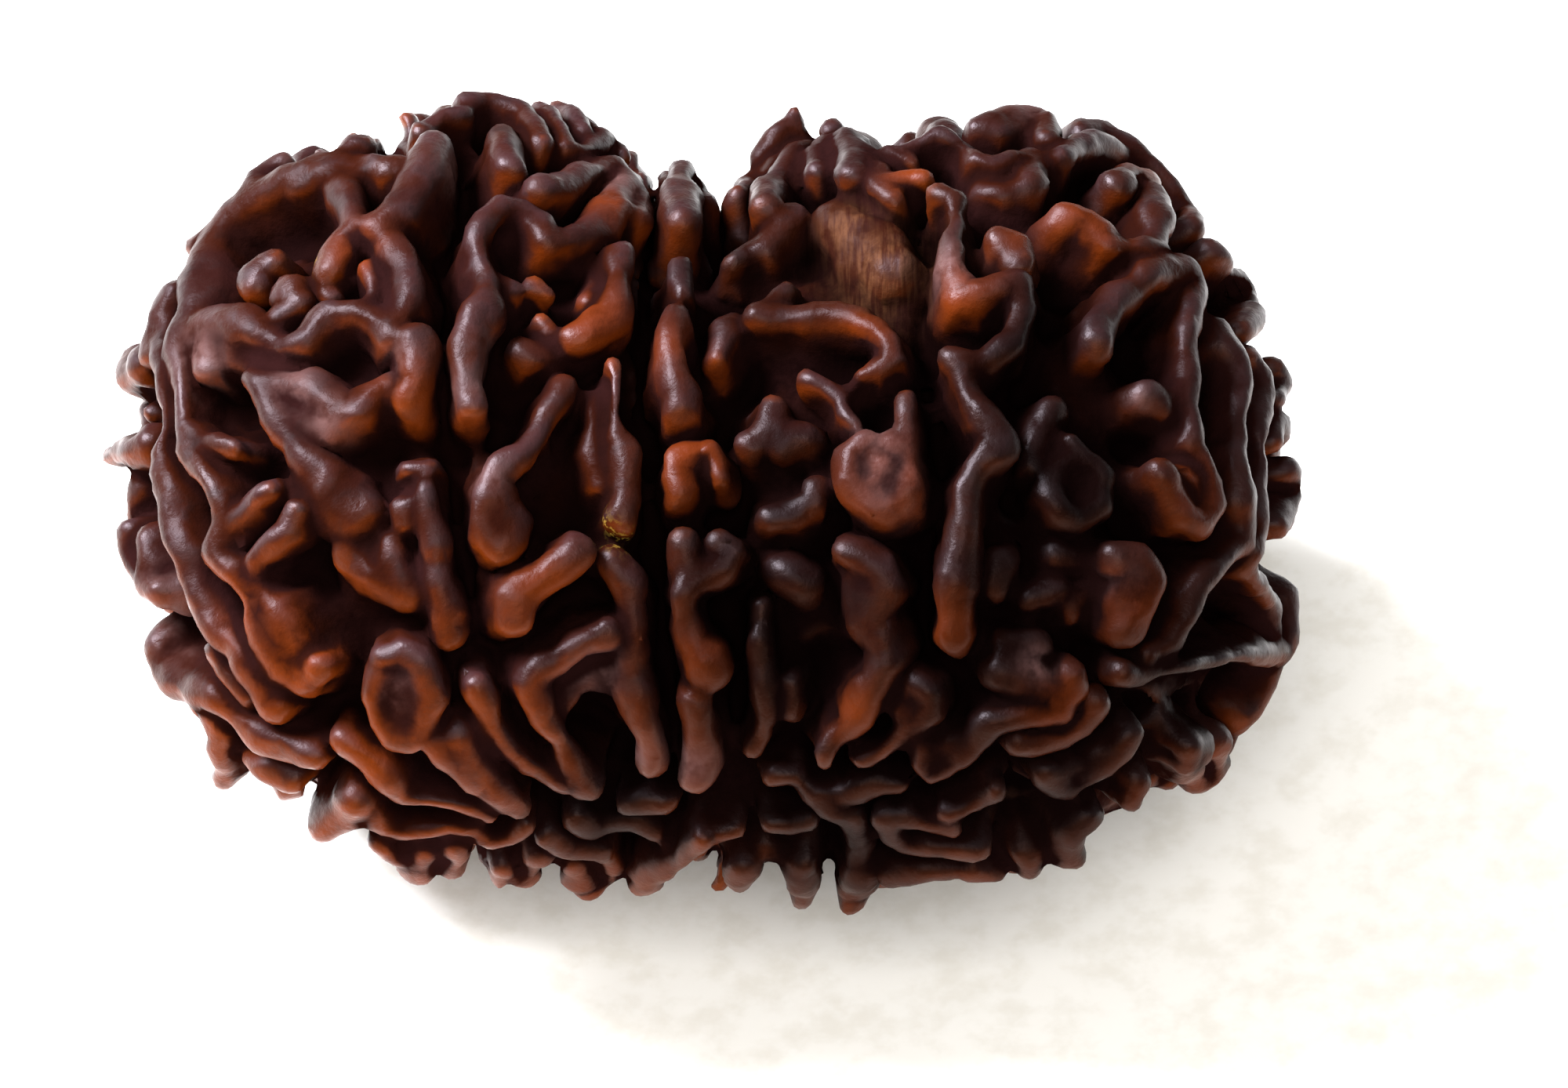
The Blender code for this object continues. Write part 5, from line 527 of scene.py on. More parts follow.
RIGHT_STONE_RIDGES = [
    (1.40, [(6.9, 9.0, 0.34), (7.4, 8.8, 0.38), (7.5, 8.2, 0.36), (7.35, 7.6, 0.36),
            (7.3, 7.0, 0.4), (7.45, 6.4, 0.46), (7.6, 5.9, 0.55), (8.1, 5.8, 0.55),
            (8.7, 6.0, 0.5), (9.2, 6.2, 0.42), (9.35, 5.7, 0.36), (9.3, 5.2, 0.36),
            (9.1, 4.7, 0.36), (8.6, 4.35, 0.34), (8.2, 4.0, 0.36)]),
    (1.55, [(7.5, 4.0, 0.5), (7.65, 3.4, 0.5), (7.85, 2.9, 0.46), (8.1, 2.4, 0.44),
            (8.5, 2.0, 0.4), (8.65, 1.65, 0.4), (8.3, 1.2, 0.38), (7.95, 0.8, 0.38),
            (7.75, 0.3, 0.4), (7.7, -0.3, 0.4), (7.6, -0.9, 0.4), (7.5, -1.6, 0.4),
            (7.45, -2.3, 0.4), (7.4, -3.0, 0.4), (7.5, -3.6, 0.44), (7.5, -4.05, 0.48)]),
    (1.35, [(5.6, 10.35, 0.38), (6.3, 10.6, 0.35), (6.9, 10.85, 0.3), (7.3, 10.8, 0.26)]),
    (1.45, [(8.2, 11.15, 0.4), (8.8, 11.3, 0.4), (9.5, 11.35, 0.4), (10.05, 11.3, 0.38),
            (10.15, 10.8, 0.36)]),
    (1.20, [(7.8, 10.45, 0.4), (8.05, 10.0, 0.42), (8.5, 9.9, 0.4), (9.2, 10.1, 0.4),
            (9.7, 10.2, 0.44), (9.8, 9.8, 0.44), (9.6, 9.3, 0.46)]),
    (0.85, [(8.3, 9.2, 0.5), (8.9, 9.0, 0.5)]),
    (1.35, [(8.7, 10.9, 0.5), (9.5, 10.95, 0.56)]),
    (1.35, [(10.6, 10.2, 0.34), (11.0, 10.45, 0.36), (11.5, 10.55, 0.36), (12.1, 10.4, 0.36),
            (12.6, 10.2, 0.36), (13.2, 10.0, 0.4), (13.7, 9.55, 0.42), (14.1, 9.1, 0.42),
            (14.4, 8.6, 0.42), (14.55, 8.1, 0.4)]),
    (1.35, [(11.2, 10.95, 0.34), (11.8, 10.9, 0.36), (12.4, 10.7, 0.36), (12.9, 10.35, 0.34)]),
    (1.40, [(12.2, 9.35, 0.46), (12.65, 9.6, 0.54), (13.1, 9.45, 0.5), (13.3, 9.0, 0.42),
            (13.35, 8.5, 0.4), (13.4, 7.9, 0.4), (13.35, 7.5, 0.4), (12.9, 7.3, 0.36),
            (12.45, 7.45, 0.3)]),
    (1.55, [(10.7, 8.35, 0.52), (11.2, 8.15, 0.62), (11.7, 7.8, 0.58), (12.05, 7.5, 0.42)]),
    (1.45, [(8.7, 7.55, 0.5), (9.1, 7.4, 0.42), (9.35, 7.05, 0.34)]),
    (1.50, [(13.0, 6.6, 0.46), (13.6, 6.7, 0.48), (14.25, 6.6, 0.54), (14.55, 6.2, 0.56),
            (14.4, 5.85, 0.48)]),
    (1.30, [(12.9, 6.45, 0.36), (12.4, 6.0, 0.38), (12.0, 5.5, 0.4), (11.75, 5.0, 0.44),
            (11.7, 4.6, 0.4)]),
    (1.45, [(14.4, 5.5, 0.36), (14.3, 4.9, 0.36), (14.35, 4.2, 0.42), (14.35, 3.5, 0.45),
            (14.3, 2.8, 0.42), (14.4, 2.2, 0.38), (14.5, 1.6, 0.38), (14.7, 1.0, 0.42),
            (14.85, 0.4, 0.42), (14.9, -0.15, 0.42), (14.6, -0.6, 0.46), (14.2, -0.45, 0.42),
            (13.95, 0.0, 0.4), (13.7, 0.45, 0.38), (13.45, 0.75, 0.34)]),
    (1.42, [(14.2, 0.5, 0.52), (14.4, 0.0, 0.62)]),
    (1.30, [(13.15, 3.05, 0.5), (13.55, 2.8, 0.5), (13.9, 2.9, 0.4)]),
    (0.80, [(10.3, 2.6, 0.4), (10.0, 1.8, 0.42), (9.8, 1.0, 0.4)]),
    (1.20, [(10.9, 1.7, 0.32), (11.3, 1.25, 0.36), (11.75, 0.8, 0.4)]),
    (1.10, [(11.8, 0.5, 0.38), (11.7, -0.1, 0.4), (11.2, -0.5, 0.44), (10.6, -0.4, 0.42),
            (10.3, 0.1, 0.4), (10.4, 0.8, 0.36), (10.8, 1.15, 0.34)]),
    (0.95, [(10.8, 0.35, 0.6), (11.3, 0.25, 0.62)]),
    (1.50, [(12.2, -1.75, 0.46), (12.8, -1.85, 0.5), (13.15, -2.3, 0.5), (12.95, -2.9, 0.5),
            (12.6, -3.4, 0.55), (12.35, -3.8, 0.5)]),
    (1.45, [(12.6, -2.5, 0.56), (12.4, -3.2, 0.6)]),
    (0.50, [(8.8, -1.9, 0.5), (8.55, -2.6, 0.5)]),
    (0.45, [(10.2, -2.7, 0.5), (9.6, -3.0, 0.5)]),
    (0.45, [(11.2, -1.8, 0.45), (10.4, -1.7, 0.45)]),
    (0.45, [(10.8, -3.3, 0.45), (11.4, -2.7, 0.5)]),
    (1.25, [(8.6, -6.6, 0.3), (9.2, -6.4, 0.32), (9.9, -6.35, 0.36), (10.5, -6.2, 0.4),
            (10.8, -5.7, 0.38), (10.75, -5.2, 0.36)]),
    (1.20, [(8.8, -5.1, 0.6), (9.5, -5.3, 0.76), (10.1, -5.55, 0.76)]),
    (0.80, [(8.9, -4.4, 0.5), (9.8, -4.3, 0.5)]),
    (1.15, [(11.55, -6.1, 0.3), (11.2, -6.7, 0.3), (10.7, -7.1, 0.3), (10.0, -7.2, 0.3),
            (9.3, -7.2, 0.3)]),
]
RIGHT_EDGE_RIDGES = [
    (1.45, [(15.1, 7.3, 0.4), (15.5, 6.95, 0.42), (15.95, 6.55, 0.42), (16.25, 6.1, 0.42),
            (16.3, 5.6, 0.36), (16.1, 5.1, 0.3)]),
    (1.45, [(15.3, 5.2, 0.38), (15.45, 4.6, 0.4), (15.75, 4.0, 0.4), (15.9, 3.3, 0.4),
            (15.85, 2.5, 0.4), (15.85, 1.7, 0.4), (15.8, 0.9, 0.4), (15.8, 0.1, 0.4),
            (15.85, -0.7, 0.4), (15.85, -1.25, 0.4), (15.5, -1.75, 0.36), (15.0, -2.15, 0.36),
            (14.6, -2.7, 0.36), (14.3, -3.3, 0.4), (14.0, -3.9, 0.4), (13.65, -4.4, 0.4),
            (13.2, -4.7, 0.36)]),
    (1.30, [(16.2, 4.3, 0.28), (16.5, 3.8, 0.3), (16.65, 3.2, 0.3), (16.6, 2.5, 0.28),
            (16.5, 1.8, 0.28), (16.55, 1.1, 0.28), (16.5, 0.4, 0.28), (16.4, -0.4, 0.28),
            (16.4, -1.0, 0.3), (16.2, -1.6, 0.3)]),
    (1.35, [(16.85, 3.8, 0.34), (17.05, 3.4, 0.34), (16.95, 3.0, 0.3)]),
    (1.25, [(17.0, 2.3, 0.32), (16.95, 1.7, 0.3)]),
    (1.45, [(17.3, 0.85, 0.42), (17.5, 0.35, 0.44), (17.4, -0.2, 0.42), (17.1, -0.8, 0.4)]),
    (1.20, [(16.0, -2.05, 0.3), (16.5, -2.6, 0.3), (16.95, -3.1, 0.34)]),
    (1.45, [(17.45, -2.85, 0.34), (17.35, -3.4, 0.4), (17.3, -4.0, 0.42), (17.0, -4.55, 0.4),
            (16.1, -4.65, 0.3), (15.4, -4.75, 0.28), (14.6, -4.9, 0.28), (13.8, -5.1, 0.28),
            (13.0, -5.3, 0.28), (12.4, -5.2, 0.28)]),
    (1.40, [(16.75, -5.25, 0.42), (16.6, -5.9, 0.42), (16.1, -6.45, 0.4)]),
    (1.40, [(15.2, -7.3, 0.4), (15.05, -7.95, 0.42), (14.7, -8.3, 0.4), (14.2, -8.0, 0.32)]),
    (1.40, [(14.3, -7.4, 0.45), (14.6, -7.5, 0.45)]),
    (1.50, [(12.9, -8.5, 0.5), (12.7, -8.9, 0.44)]),
    (1.30, [(12.7, -7.0, 0.34), (12.4, -7.4, 0.34), (12.0, -7.8, 0.34), (11.5, -8.3, 0.36),
            (11.0, -8.6, 0.38), (10.5, -8.5, 0.38), (10.1, -8.2, 0.34)]),
    (1.10, [(11.6, -7.6, 0.46), (11.0, -8.0, 0.5), (10.6, -7.95, 0.46)]),
    (1.10, [(16.6, -3.3, 0.5), (16.5, -4.0, 0.5)]),
    (1.50, [(11.3, -9.3, 0.44), (10.85, -9.8, 0.48), (10.65, -10.45, 0.5)]),
    (1.50, [(9.6, -10.6, 0.5), (9.6, -10.95, 0.44)]),
    (1.40, [(8.6, -11.05, 0.4), (7.9, -11.05, 0.36)]),
    (1.45, [(7.1, -11.0, 0.4), (6.4, -10.9, 0.4), (5.6, -11.0, 0.42)]),
    (1.25, [(7.2, -9.3, 0.38), (8.0, -9.1, 0.36), (8.5, -8.7, 0.3)]),
    (1.20, [(6.0, -9.4, 0.3), (6.6, -9.6, 0.3), (7.3, -9.7, 0.34)]),
    (1.30, [(5.4, -9.5, 0.3), (5.5, -10.0, 0.3), (5.9, -10.35, 0.3), (6.6, -10.3, 0.28),
            (7.3, -10.4, 0.28), (8.2, -10.4, 0.3)]),
]

# Grooves that run between the poles, as points in the same millimetres
GROOVES = [
    [(-17.0, -3.3), (-15.9, -3.9), (-15.2, -6.2), (-13.5, -7.5), (-11.5, -8.1), (-10.4, -8.6),
     (-9.3, -9.3), (-7.5, -9.45), (-6.0, -9.5), (-4.5, -9.1), (-3.3, -9.2), (-1.5, -9.1)],
    [(-15.9, 4.9), (-15.95, 3.0), (-15.9, 1.8), (-15.2, 0.2), (-14.9, -1.2), (-14.6, -2.4),
     (-14.0, -3.3), (-13.4, -4.6), (-12.9, -5.5), (-12.0, -6.1), (-11.2, -6.5), (-10.4, -6.9),
     (-9.3, -7.6), (-8.0, -8.4), (-6.9, -9.0), (-5.6, -9.5)],
    [(-7.6, 11.2), (-7.5, 9.0), (-7.8, 7.0), (-7.8, 5.0), (-7.8, 3.0), (-7.6, 1.0),
     (-7.4, -1.0), (-7.2, -2.5), (-6.9, -3.8), (-6.2, -4.7), (-6.0, -5.8), (-5.5, -6.8),
     (-4.8, -7.8), (-3.9, -8.8), (-2.0, -9.2)],
    [(-1.65, 8.6), (-1.7, 7.0), (-1.6, 5.0), (-1.75, 3.5), (-1.6, 2.0), (-1.5, 0.5),
     (-1.6, -0.8), (-1.5, -2.0), (-1.4, -4.0), (-1.2, -6.0), (-1.1, -7.6), (-0.9, -8.9)],
    [(6.4, 9.0), (6.6, 6.0), (6.65, 4.0), (6.75, 2.0), (6.8, 0.0), (6.7, -1.5), (6.5, -3.0),
     (6.2, -4.6), (5.6, -5.9), (5.0, -7.1), (3.9, -8.3), (2.4, -8.9)],
    [(14.4, 7.6), (15.0, 6.4), (14.95, 5.0), (15.05, 3.5), (15.15, 2.0), (15.35, 0.5),
     (15.35, -0.8), (14.6, -1.7), (14.0, -2.8), (13.4, -4.2), (12.0, -5.0), (11.4, -5.9),
     (10.8, -6.8), (9.3, -7.7), (7.6, -8.6), (5.5, -8.95), (3.2, -9.1)],
    [(17.2, -1.9), (16.0, -3.2), (15.0, -4.0)],
    [(15.6, -5.9), (13.8, -6.4), (12.5, -6.4), (11.7, -7.3), (10.3, -7.8), (9.0, -8.4),
     (7.6, -8.9)],
    [(0.3, 8.4), (0.6, 7.0), (0.8, 5.6), (1.2, 3.6), (0.5, 2.2), (0.9, 0.2), (0.8, -3.0),
     (1.0, -5.4), (1.0, -6.8), (2.2, -7.6), (3.0, -8.2)],
]
GROOVE_RADIUS = 0.36
GROOVE_HEIGHT = -0.4

# Hollows: millimetres right, millimetres up, radius and depth under the body
HOLLOWS = [
    (-12.3, 8.1, 0.9, 0.6), (-11.6, 7.7, 0.7, 0.6), (-12.7, 8.0, 0.7, 0.5),
    (-13.6, 2.7, 0.7, 0.6), (-13.3, 1.7, 0.8, 0.7), (-13.1, 1.1, 0.8, 0.6),
    (-11.8, -1.5, 0.7, 0.6), (-11.6, -2.6, 0.7, 0.5), (-10.9, -5.5, 0.7, 0.6),
    (-5.5, 7.5, 0.55, 0.7), (-4.7, 10.3, 0.6, 0.5), (-4.3, 8.5, 0.5, 0.5),
    (-4.3, 6.6, 0.7, 0.5), (-5.9, 3.0, 0.7, 0.5), (-6.2, 1.8, 0.6, 0.5),
    (-3.5, -6.9, 0.8, 0.7), (-2.4, -7.4, 0.7, 0.7), (-8.6, -7.9, 0.5, 0.5),
    (-9.1, -5.6, 0.5, 0.5), (-4.4, -3.5, 0.6, 0.4), (-3.4, -3.1, 0.6, 0.3),
    (0.5, 7.6, 0.9, 0.5), (1.3, 3.6, 0.9, 0.5), (0.5, -0.4, 0.8, 0.6),
    (0.8, -3.0, 0.8, 0.5), (1.0, -6.2, 0.6, 0.5), (3.3, -5.0, 1.0, 0.4),
    (2.6, -7.9, 0.8, 0.7), (4.8, -8.2, 0.6, 0.5), (2.4, 6.9, 0.5, 0.3),
    (6.3, -1.5, 0.6, 0.4), (6.4, -4.5, 0.6, 0.4), (9.5, 3.9, 0.9, 0.5),
    (9.3, 0.1, 0.7, 0.5), (10.0, 8.3, 0.6, 0.5), (10.6, 6.4, 1.0, 0.6),
    (10.4, 5.4, 0.9, 0.6), (11.3, 9.6, 0.6, 0.5), (12.6, 8.5, 0.5, 0.5),
    (13.1, 5.2, 0.8, 0.7), (12.8, 4.4, 0.8, 0.5), (12.9, 1.8, 0.8, 0.5),
    (12.5, -0.9, 0.8, 0.6), (14.2, -1.5, 0.5, 0.3), (11.4, -4.7, 0.7, 0.4),
    (15.2, -3.8, 0.8, 0.5), (14.1, -6.5, 0.8, 0.5), (8.0, -8.1, 0.6, 0.5),
    (9.5, -8.5, 0.5, 0.4), (9.7, 3.3, 0.8, 0.5),
]

# Clear sight lines between the teeth at the edge: millimetres right, millimetres up and radius
GAPS = [
    (-11.85, -8.7, 0.3), (-12.25, -9.4, 0.45), (-10.55, -10.85, 0.4), (-6.92, -11.1, 0.2),
    (-6.9, -11.7, 0.4), (-2.5, -11.6, 0.24), (-2.6, -12.2, 0.4), (-0.5, -11.85, 0.42),
    (-0.1, -11.2, 0.42), (0.22, -10.65, 0.22), (1.95, -11.35, 0.28), (1.95, -12.0, 0.4),
    (3.68, -11.0, 0.2), (3.66, -11.6, 0.28), (3.6, -12.2, 0.38), (18.0, -2.05, 0.3),
    (3.2, 11.35, 0.12), (3.2, 11.85, 0.28), (2.95, 12.5, 0.34), (3.75, 12.3, 0.5), (4.4, 12.0, 0.5),
    (4.7, 11.45, 0.4), (5.3, 11.3, 0.45), (10.7, 11.75, 0.28), (11.6, 11.75, 0.3),
    (-1.62, 9.0, 0.13), (-1.65, 9.5, 0.2), (-1.7, 10.1, 0.35), (-1.6, 10.8, 0.5), (0.25, 9.7, 0.28),
    (-9.6, 10.55, 0.3), (-9.5, 11.1, 0.42), (-10.3, 11.2, 0.36), (-11.3, 10.8, 0.34),
    (-17.4, 2.3, 0.32),
]


def blend(first, second, width):
    """Joins two distance fields with a rounded inner corner of the given width."""
    overlap = np.maximum(width - np.abs(first - second), 0.0) / width
    return np.minimum(first, second) - overlap * overlap * width / 4.0


def carve(field, tool, width):
    """Takes one distance field out of another and rounds the corner."""
    return -blend(-field, tool, width)


def ellipsoid(place, centre, radii):
    """Distance from an ellipsoid, close to true near its surface and below zero inside."""
    scaled = [(axis - middle) / radius for axis, middle, radius in zip(place, centre, radii)]
    reach = np.sqrt(sum(part * part for part in scaled) + TINY)
    slope = np.sqrt(sum((part / radius) ** 2 for part, radius in zip(scaled, radii)) + TINY)
    return reach * (reach - 1.0) / slope


def body(place):
    """Distance from the body that the ridges stand on."""
    left = ellipsoid(place, LEFT_STONE, STONE_RADII)
    right = ellipsoid(place, RIGHT_STONE, STONE_RADII)
    bridge = ellipsoid(place, BRIDGE, BRIDGE_RADII)
    return blend(blend(left, right, STONE_BLEND), bridge, STONE_BLEND)


def swells(place):
    """Slow rise and fall of the floor, the same wherever it is worked out."""
    rng = np.random.default_rng(SEED)
    total = 0.0
    for _ in range(SWELL_COUNT):
        heading = rng.normal(0.0, 1.0, 3)
        heading *= 2.0 * math.pi / (rng.uniform(*SWELL_LENGTHS) * np.linalg.norm(heading))
        phase = rng.uniform(0.0, 2.0 * math.pi)
        total = total + np.sin(sum(axis * value for axis, value in zip(place, heading)) + phase)
    return SWELL_HEIGHT * math.sqrt(2.0 / SWELL_COUNT) * total


def outward(points):
    """Unit vectors that point straight out of the body at the given points."""
    slopes = []
    for axis in range(3):
        ahead = points.copy()
        behind = points.copy()
        ahead[:, axis] += SLOPE_STEP
        behind[:, axis] -= SLOPE_STEP
        slopes.append(body(ahead.T) - body(behind.T))
    slopes = np.stack(slopes, axis=1)
    return slopes / np.maximum(np.linalg.norm(slopes, axis=1, keepdims=True), TINY)


def sight_axes():
    """Unit vectors to the right, up the picture and toward the eye."""
    across = np.array([1.0, 0.0, 0.0])
    upward = np.array([0.0, math.sin(SIGHT_RISE), math.cos(SIGHT_RISE)])
    toward = np.array([0.0, -math.cos(SIGHT_RISE), math.sin(SIGHT_RISE)])
    return across, upward, toward


def land(picture, heights):
    """Puts picture points on the body at the given heights, or where their sight lines pass nearest."""
    across, upward, toward = sight_axes()
    depths = np.arange(SIGHT_REACH, -SIGHT_REACH, -SIGHT_STEP)
    base = picture[:, :1] * across + picture[:, 1:2] * upward
    lines = base[:, None, :] + depths[None, :, None] * toward
    gaps = body(np.moveaxis(lines, -1, 0)) - heights[:, None]
    reached = gaps <= 0.0
    index = np.where(reached.any(axis=1), reached.argmax(axis=1), gaps.argmin(axis=1))
    return base + depths[index][:, None] * toward


def smooth_line(points):
    """A smooth curve through the points, as points about one piece length apart."""
    points = np.array(points, float)
    ends = np.vstack([2 * points[0] - points[1], points, 2 * points[-1] - points[-2]])
    line = []
    for before, start, end, after in zip(ends, ends[1:], ends[2:], ends[3:]):
        length = np.linalg.norm((end - start)[:2])
        pieces = max(1, round(length / PIECE_LENGTH))
        for step in range(pieces):
            t = step / pieces
            line.append(
                0.5
                * (
                    2 * start
                    + (end - before) * t
                    + (2 * before - 5 * start + 4 * end - after) * t ** 2
                    + (3 * start - before - 3 * end + after) * t ** 3
                )
            )
    line.append(points[-1])
    return np.array(line)


class Ridge:
    """The middle line of a ridge in space, with its half widths and how far its walls go down."""

    def __init__(self, points, radii):
        self.points = points
        self.radii = radii
        self.normals = outward(points)
        self.depths = np.maximum(body(points.T), 0.0) + ROOT_DEPTH


def ridges_in_sight():
    """The ridges that the photo shows."""
    groups = [LEFT_EDGE_RIDGES, LEFT_STONE_RIDGES, MIDDLE_RIDGES, VALLEY_EDGE_RIDGES,
              RIGHT_STONE_RIDGES, RIGHT_EDGE_RIDGES]
    ridges = []
    for group in groups:
        for height, points in group:
            line = smooth_line(points)
            radii = np.maximum(line[:, 2] * TOP_TO_WIDTH, LEAST_RADIUS)
            ridges.append(Ridge(land(line, height - radii), radii))
    return ridges


def feet():
    """Short ridges under the bead that reach down to the level it rests on."""
    ridges = []
    for across, along in FEET:
        line = np.array([[across, along - FOOT_LENGTH / 2, 0.0], [across, along + FOOT_LENGTH / 2, 0.0]])
        line[:, 2] = REST_LEVEL + FOOT_RADIUS - FOOT_DEPTH
        ridges.append(Ridge(line, np.full(2, FOOT_RADIUS)))
    return ridges


def settle(points, height):
    """Moves points straight in or out until they lie at a height, or their own heights, over the body."""
    for _ in range(SETTLING_ROUNDS):
        points = points - (body(points.T) - height)[:, None] * outward(points)
    return points


def facing(points):
    """How far the body turns toward the eye at the points: 1 square on, 0 at the rim, below 0 behind."""
    return outward(points) @ sight_axes()[2]


def behind_rim(points):
    """Share of the full height that a hidden ridge has at the points."""
    share = (RIM_FACING - facing(points)) / (RIM_FACING - FULL_FACING)
    return RIM_HEIGHT_SHARE + (1.0 - RIM_HEIGHT_SHARE) * np.clip(share, 0.0, 1.0)


def hidden_starts(rng):
    """Points spread evenly over the hidden part of the body, in a shuffled order."""
    count = np.arange(START_COUNT)
    turns = count * math.pi * (3.0 - math.sqrt(5.0))
    heights = 1.0 - (2.0 * count + 1.0) / START_COUNT
    rings = np.sqrt(1.0 - heights ** 2)
    ball = np.stack([rings * np.cos(turns), heights, rings * np.sin(turns)], axis=1)
    points = settle(ball * START_RADII, 0.0)
    upper = outward(points) @ sight_axes()[1] > UPPER_RIM
    hidden = points[facing(points) < np.where(upper, UPPER_RIM_FACING, RIM_FACING)]
    return hidden[rng.permutation(len(hidden))]


def crawl(start, heading, length, height, rng, taken):
    """Walks over the body from a start, wandering a little, until it is long enough or meets a ridge.

    Where it meets one it joins it, or else it stops short.
    """
    line = [settle(start[None], height)[0]]
    turn = heading
    while len(line) * HIDDEN_STEP < length:
        along, side = pole_frame(line[-1])
        turn = heading + STEADINESS * (turn - heading) + rng.normal(0.0, WANDER)
        step = math.cos(turn) * along + math.sin(turn) * side
        place = settle((line[-1] + HIDDEN_STEP * step)[None], height)[0]
        gaps = np.linalg.norm(taken - place, axis=1)
        if gaps.min() < CLEARANCE:
            if rng.random() < JOIN_SHARE:
                shares = np.arange(1, JOIN_STEPS)[:, None] / JOIN_STEPS
                line.extend(line[-1] + shares * (taken[gaps.argmin()] - line[-1]))
            break
        line.append(place)
    return np.array(line)


def uneven(line, rng):
    """A ridge along a line, with half widths that vary and ends that swell."""
    if len(line) < 2:
        line = np.vstack([line, line + rng.normal(0.0, KNOB_SPREAD, 3)])
    radii = rng.uniform(*HIDDEN_RADII) * (1.0 + rng.normal(0.0, RADIUS_SPREAD, len(line)))
    radii[[0, -1]] *= rng.uniform(1.0, END_SWELLING, 2)
    return Ridge(line, radii)


def pole_frame(place):
    """Unit vectors along the body toward the back poles and across them, at a place on the body."""
    normal = outward(place[None])[0]
    along = POLE_AXIS - (normal @ POLE_AXIS) * normal
    along /= max(np.linalg.norm(along), TINY)
    return along, np.cross(normal, along)


def spurs(shown, rng):
    """Ridges that carry on from the rim of the part in sight to the side out of sight."""
    away = -sight_axes()[2]
    taken = np.vstack([ridge.points for ridge in shown])
    ridges = []
    for ridge in shown:
        for start in ridge.points[facing(ridge.points) < SPUR_FACING][::SPUR_STRIDE]:
            along, side = pole_frame(start)
            heading = math.atan2(away @ side, away @ along) + rng.normal(0.0, HEADING_SPREAD)
            others = taken[np.linalg.norm(taken - start, axis=1) > SPUR_CLEARANCE]
            height = min(body(start), SPUR_HEIGHT)
            line = crawl(start, heading, rng.uniform(*SPUR_LENGTHS), height, rng, others)
            ridges.append(uneven(line, rng))
            taken = np.vstack([taken, line[2:]])
    return ridges


def hidden_ridge(start, rng, taken):
    """One ridge by the seeded rule, along the pole axis more often than across it."""
    height = rng.uniform(*HIDDEN_HEIGHTS) * behind_rim(start[None])[0]
    heading = rng.normal(0.0, HEADING_SPREAD)
    if rng.random() > POLEWARD_SHARE:
        heading += math.pi / 2
    ahead = crawl(start, heading, rng.uniform(*HIDDEN_LENGTHS), height, rng, taken)
    behind = crawl(start, heading + math.pi, rng.uniform(*HIDDEN_LENGTHS), height, rng, taken)
    return uneven(np.vstack([behind[:0:-1], ahead]), rng)


def meridian(stone, turn):
    """A line over a stone from pole to pole, at a turn round its pole axis."""
    across = np.sin(MERIDIAN_FALLS) * math.cos(math.radians(turn))
    upward = np.sin(MERIDIAN_FALLS) * math.sin(math.radians(turn))
    unit = np.stack([across, -np.cos(MERIDIAN_FALLS), upward], axis=1)
    return settle(np.array(stone) + unit * STONE_RADII, 0.0)


def hidden_grooves():
    """The parts of the pole to pole grooves that are out of sight."""
    lines = []
    for stone, turns in ((LEFT_STONE, LEFT_GROOVE_TURNS), (RIGHT_STONE, RIGHT_GROOVE_TURNS)):
        for turn in turns:
            line = meridian(stone, turn)
            own_side = line[:, 0] * stone[0] > SEAM_CLEARANCE * abs(stone[0])
            line = line[own_side & (facing(line) < RIM_FACING)]
            if len(line) > 2:
                lines.append(line)
    return lines


def banks(rng):
    """Broken ridges along both sides of each hidden groove."""
    ridges = []
    for line in hidden_grooves():
        side = np.cross(outward(line), np.gradient(line, axis=0))
        side /= np.linalg.norm(side, axis=1, keepdims=True)
        for way in (-1.0, 1.0):
            edge = line + way * (BANK_OFFSET + rng.normal(0.0, BANK_SPREAD, (len(line), 1))) * side
            first = rng.integers(*BANK_GAPS)
            while first < len(edge) - 2:
                last = first + rng.integers(*BANK_LENGTHS)
                heights = rng.uniform(*BANK_HEIGHTS) * behind_rim(edge[first:last])
                ridges.append(uneven(settle(edge[first:last], heights), rng))
                first = last + rng.integers(*BANK_GAPS)
    return ridges


def hidden_ridges(shown):
    """Ridges and knobs by a seeded rule where the photo doesn't show the bead."""
    rng = np.random.default_rng(SEED)
    starts = hidden_starts(rng)
    ridges = spurs(shown, rng) + banks(rng)
    taken = np.vstack([ridge.points for ridge in shown + ridges] + hidden_grooves())
    for start in starts:
        if np.linalg.norm(taken - start, axis=1).min() > HIDDEN_SPACING:
            ridges.append(hidden_ridge(start, rng, taken))
            taken = np.vstack([taken, ridges[-1].points])
    for start in starts:
        place = settle(start[None], rng.uniform(*KNOB_HEIGHTS) * behind_rim(start[None])[0])
        if np.linalg.norm(taken - place, axis=1).min() > KNOB_SPACING:
            line = np.vstack([place, place + rng.normal(0.0, KNOB_SPREAD, 3)])
            ridges.append(Ridge(line, np.full(2, rng.uniform(*HIDDEN_RADII))))
            taken = np.vstack([taken, line])
    return ridges


def window(axes, low, high):
    """Slices of the cells between two corners."""
    slices = []
    for axis, bottom, top in zip(axes, low, high):
        first, last = np.searchsorted(axis, [bottom, top])
        slices.append(slice(min(first, len(axis) - 1), max(last, first + 1)))
    return tuple(slices)


def places(axes, slices):
    """Where the cells in the slices are, as three arrays that combine into a block."""
    shapes = [(-1, 1, 1), (1, -1, 1), (1, 1, -1)]
    return [axis[part].reshape(shape) for axis, part, shape in zip(axes, slices, shapes)]


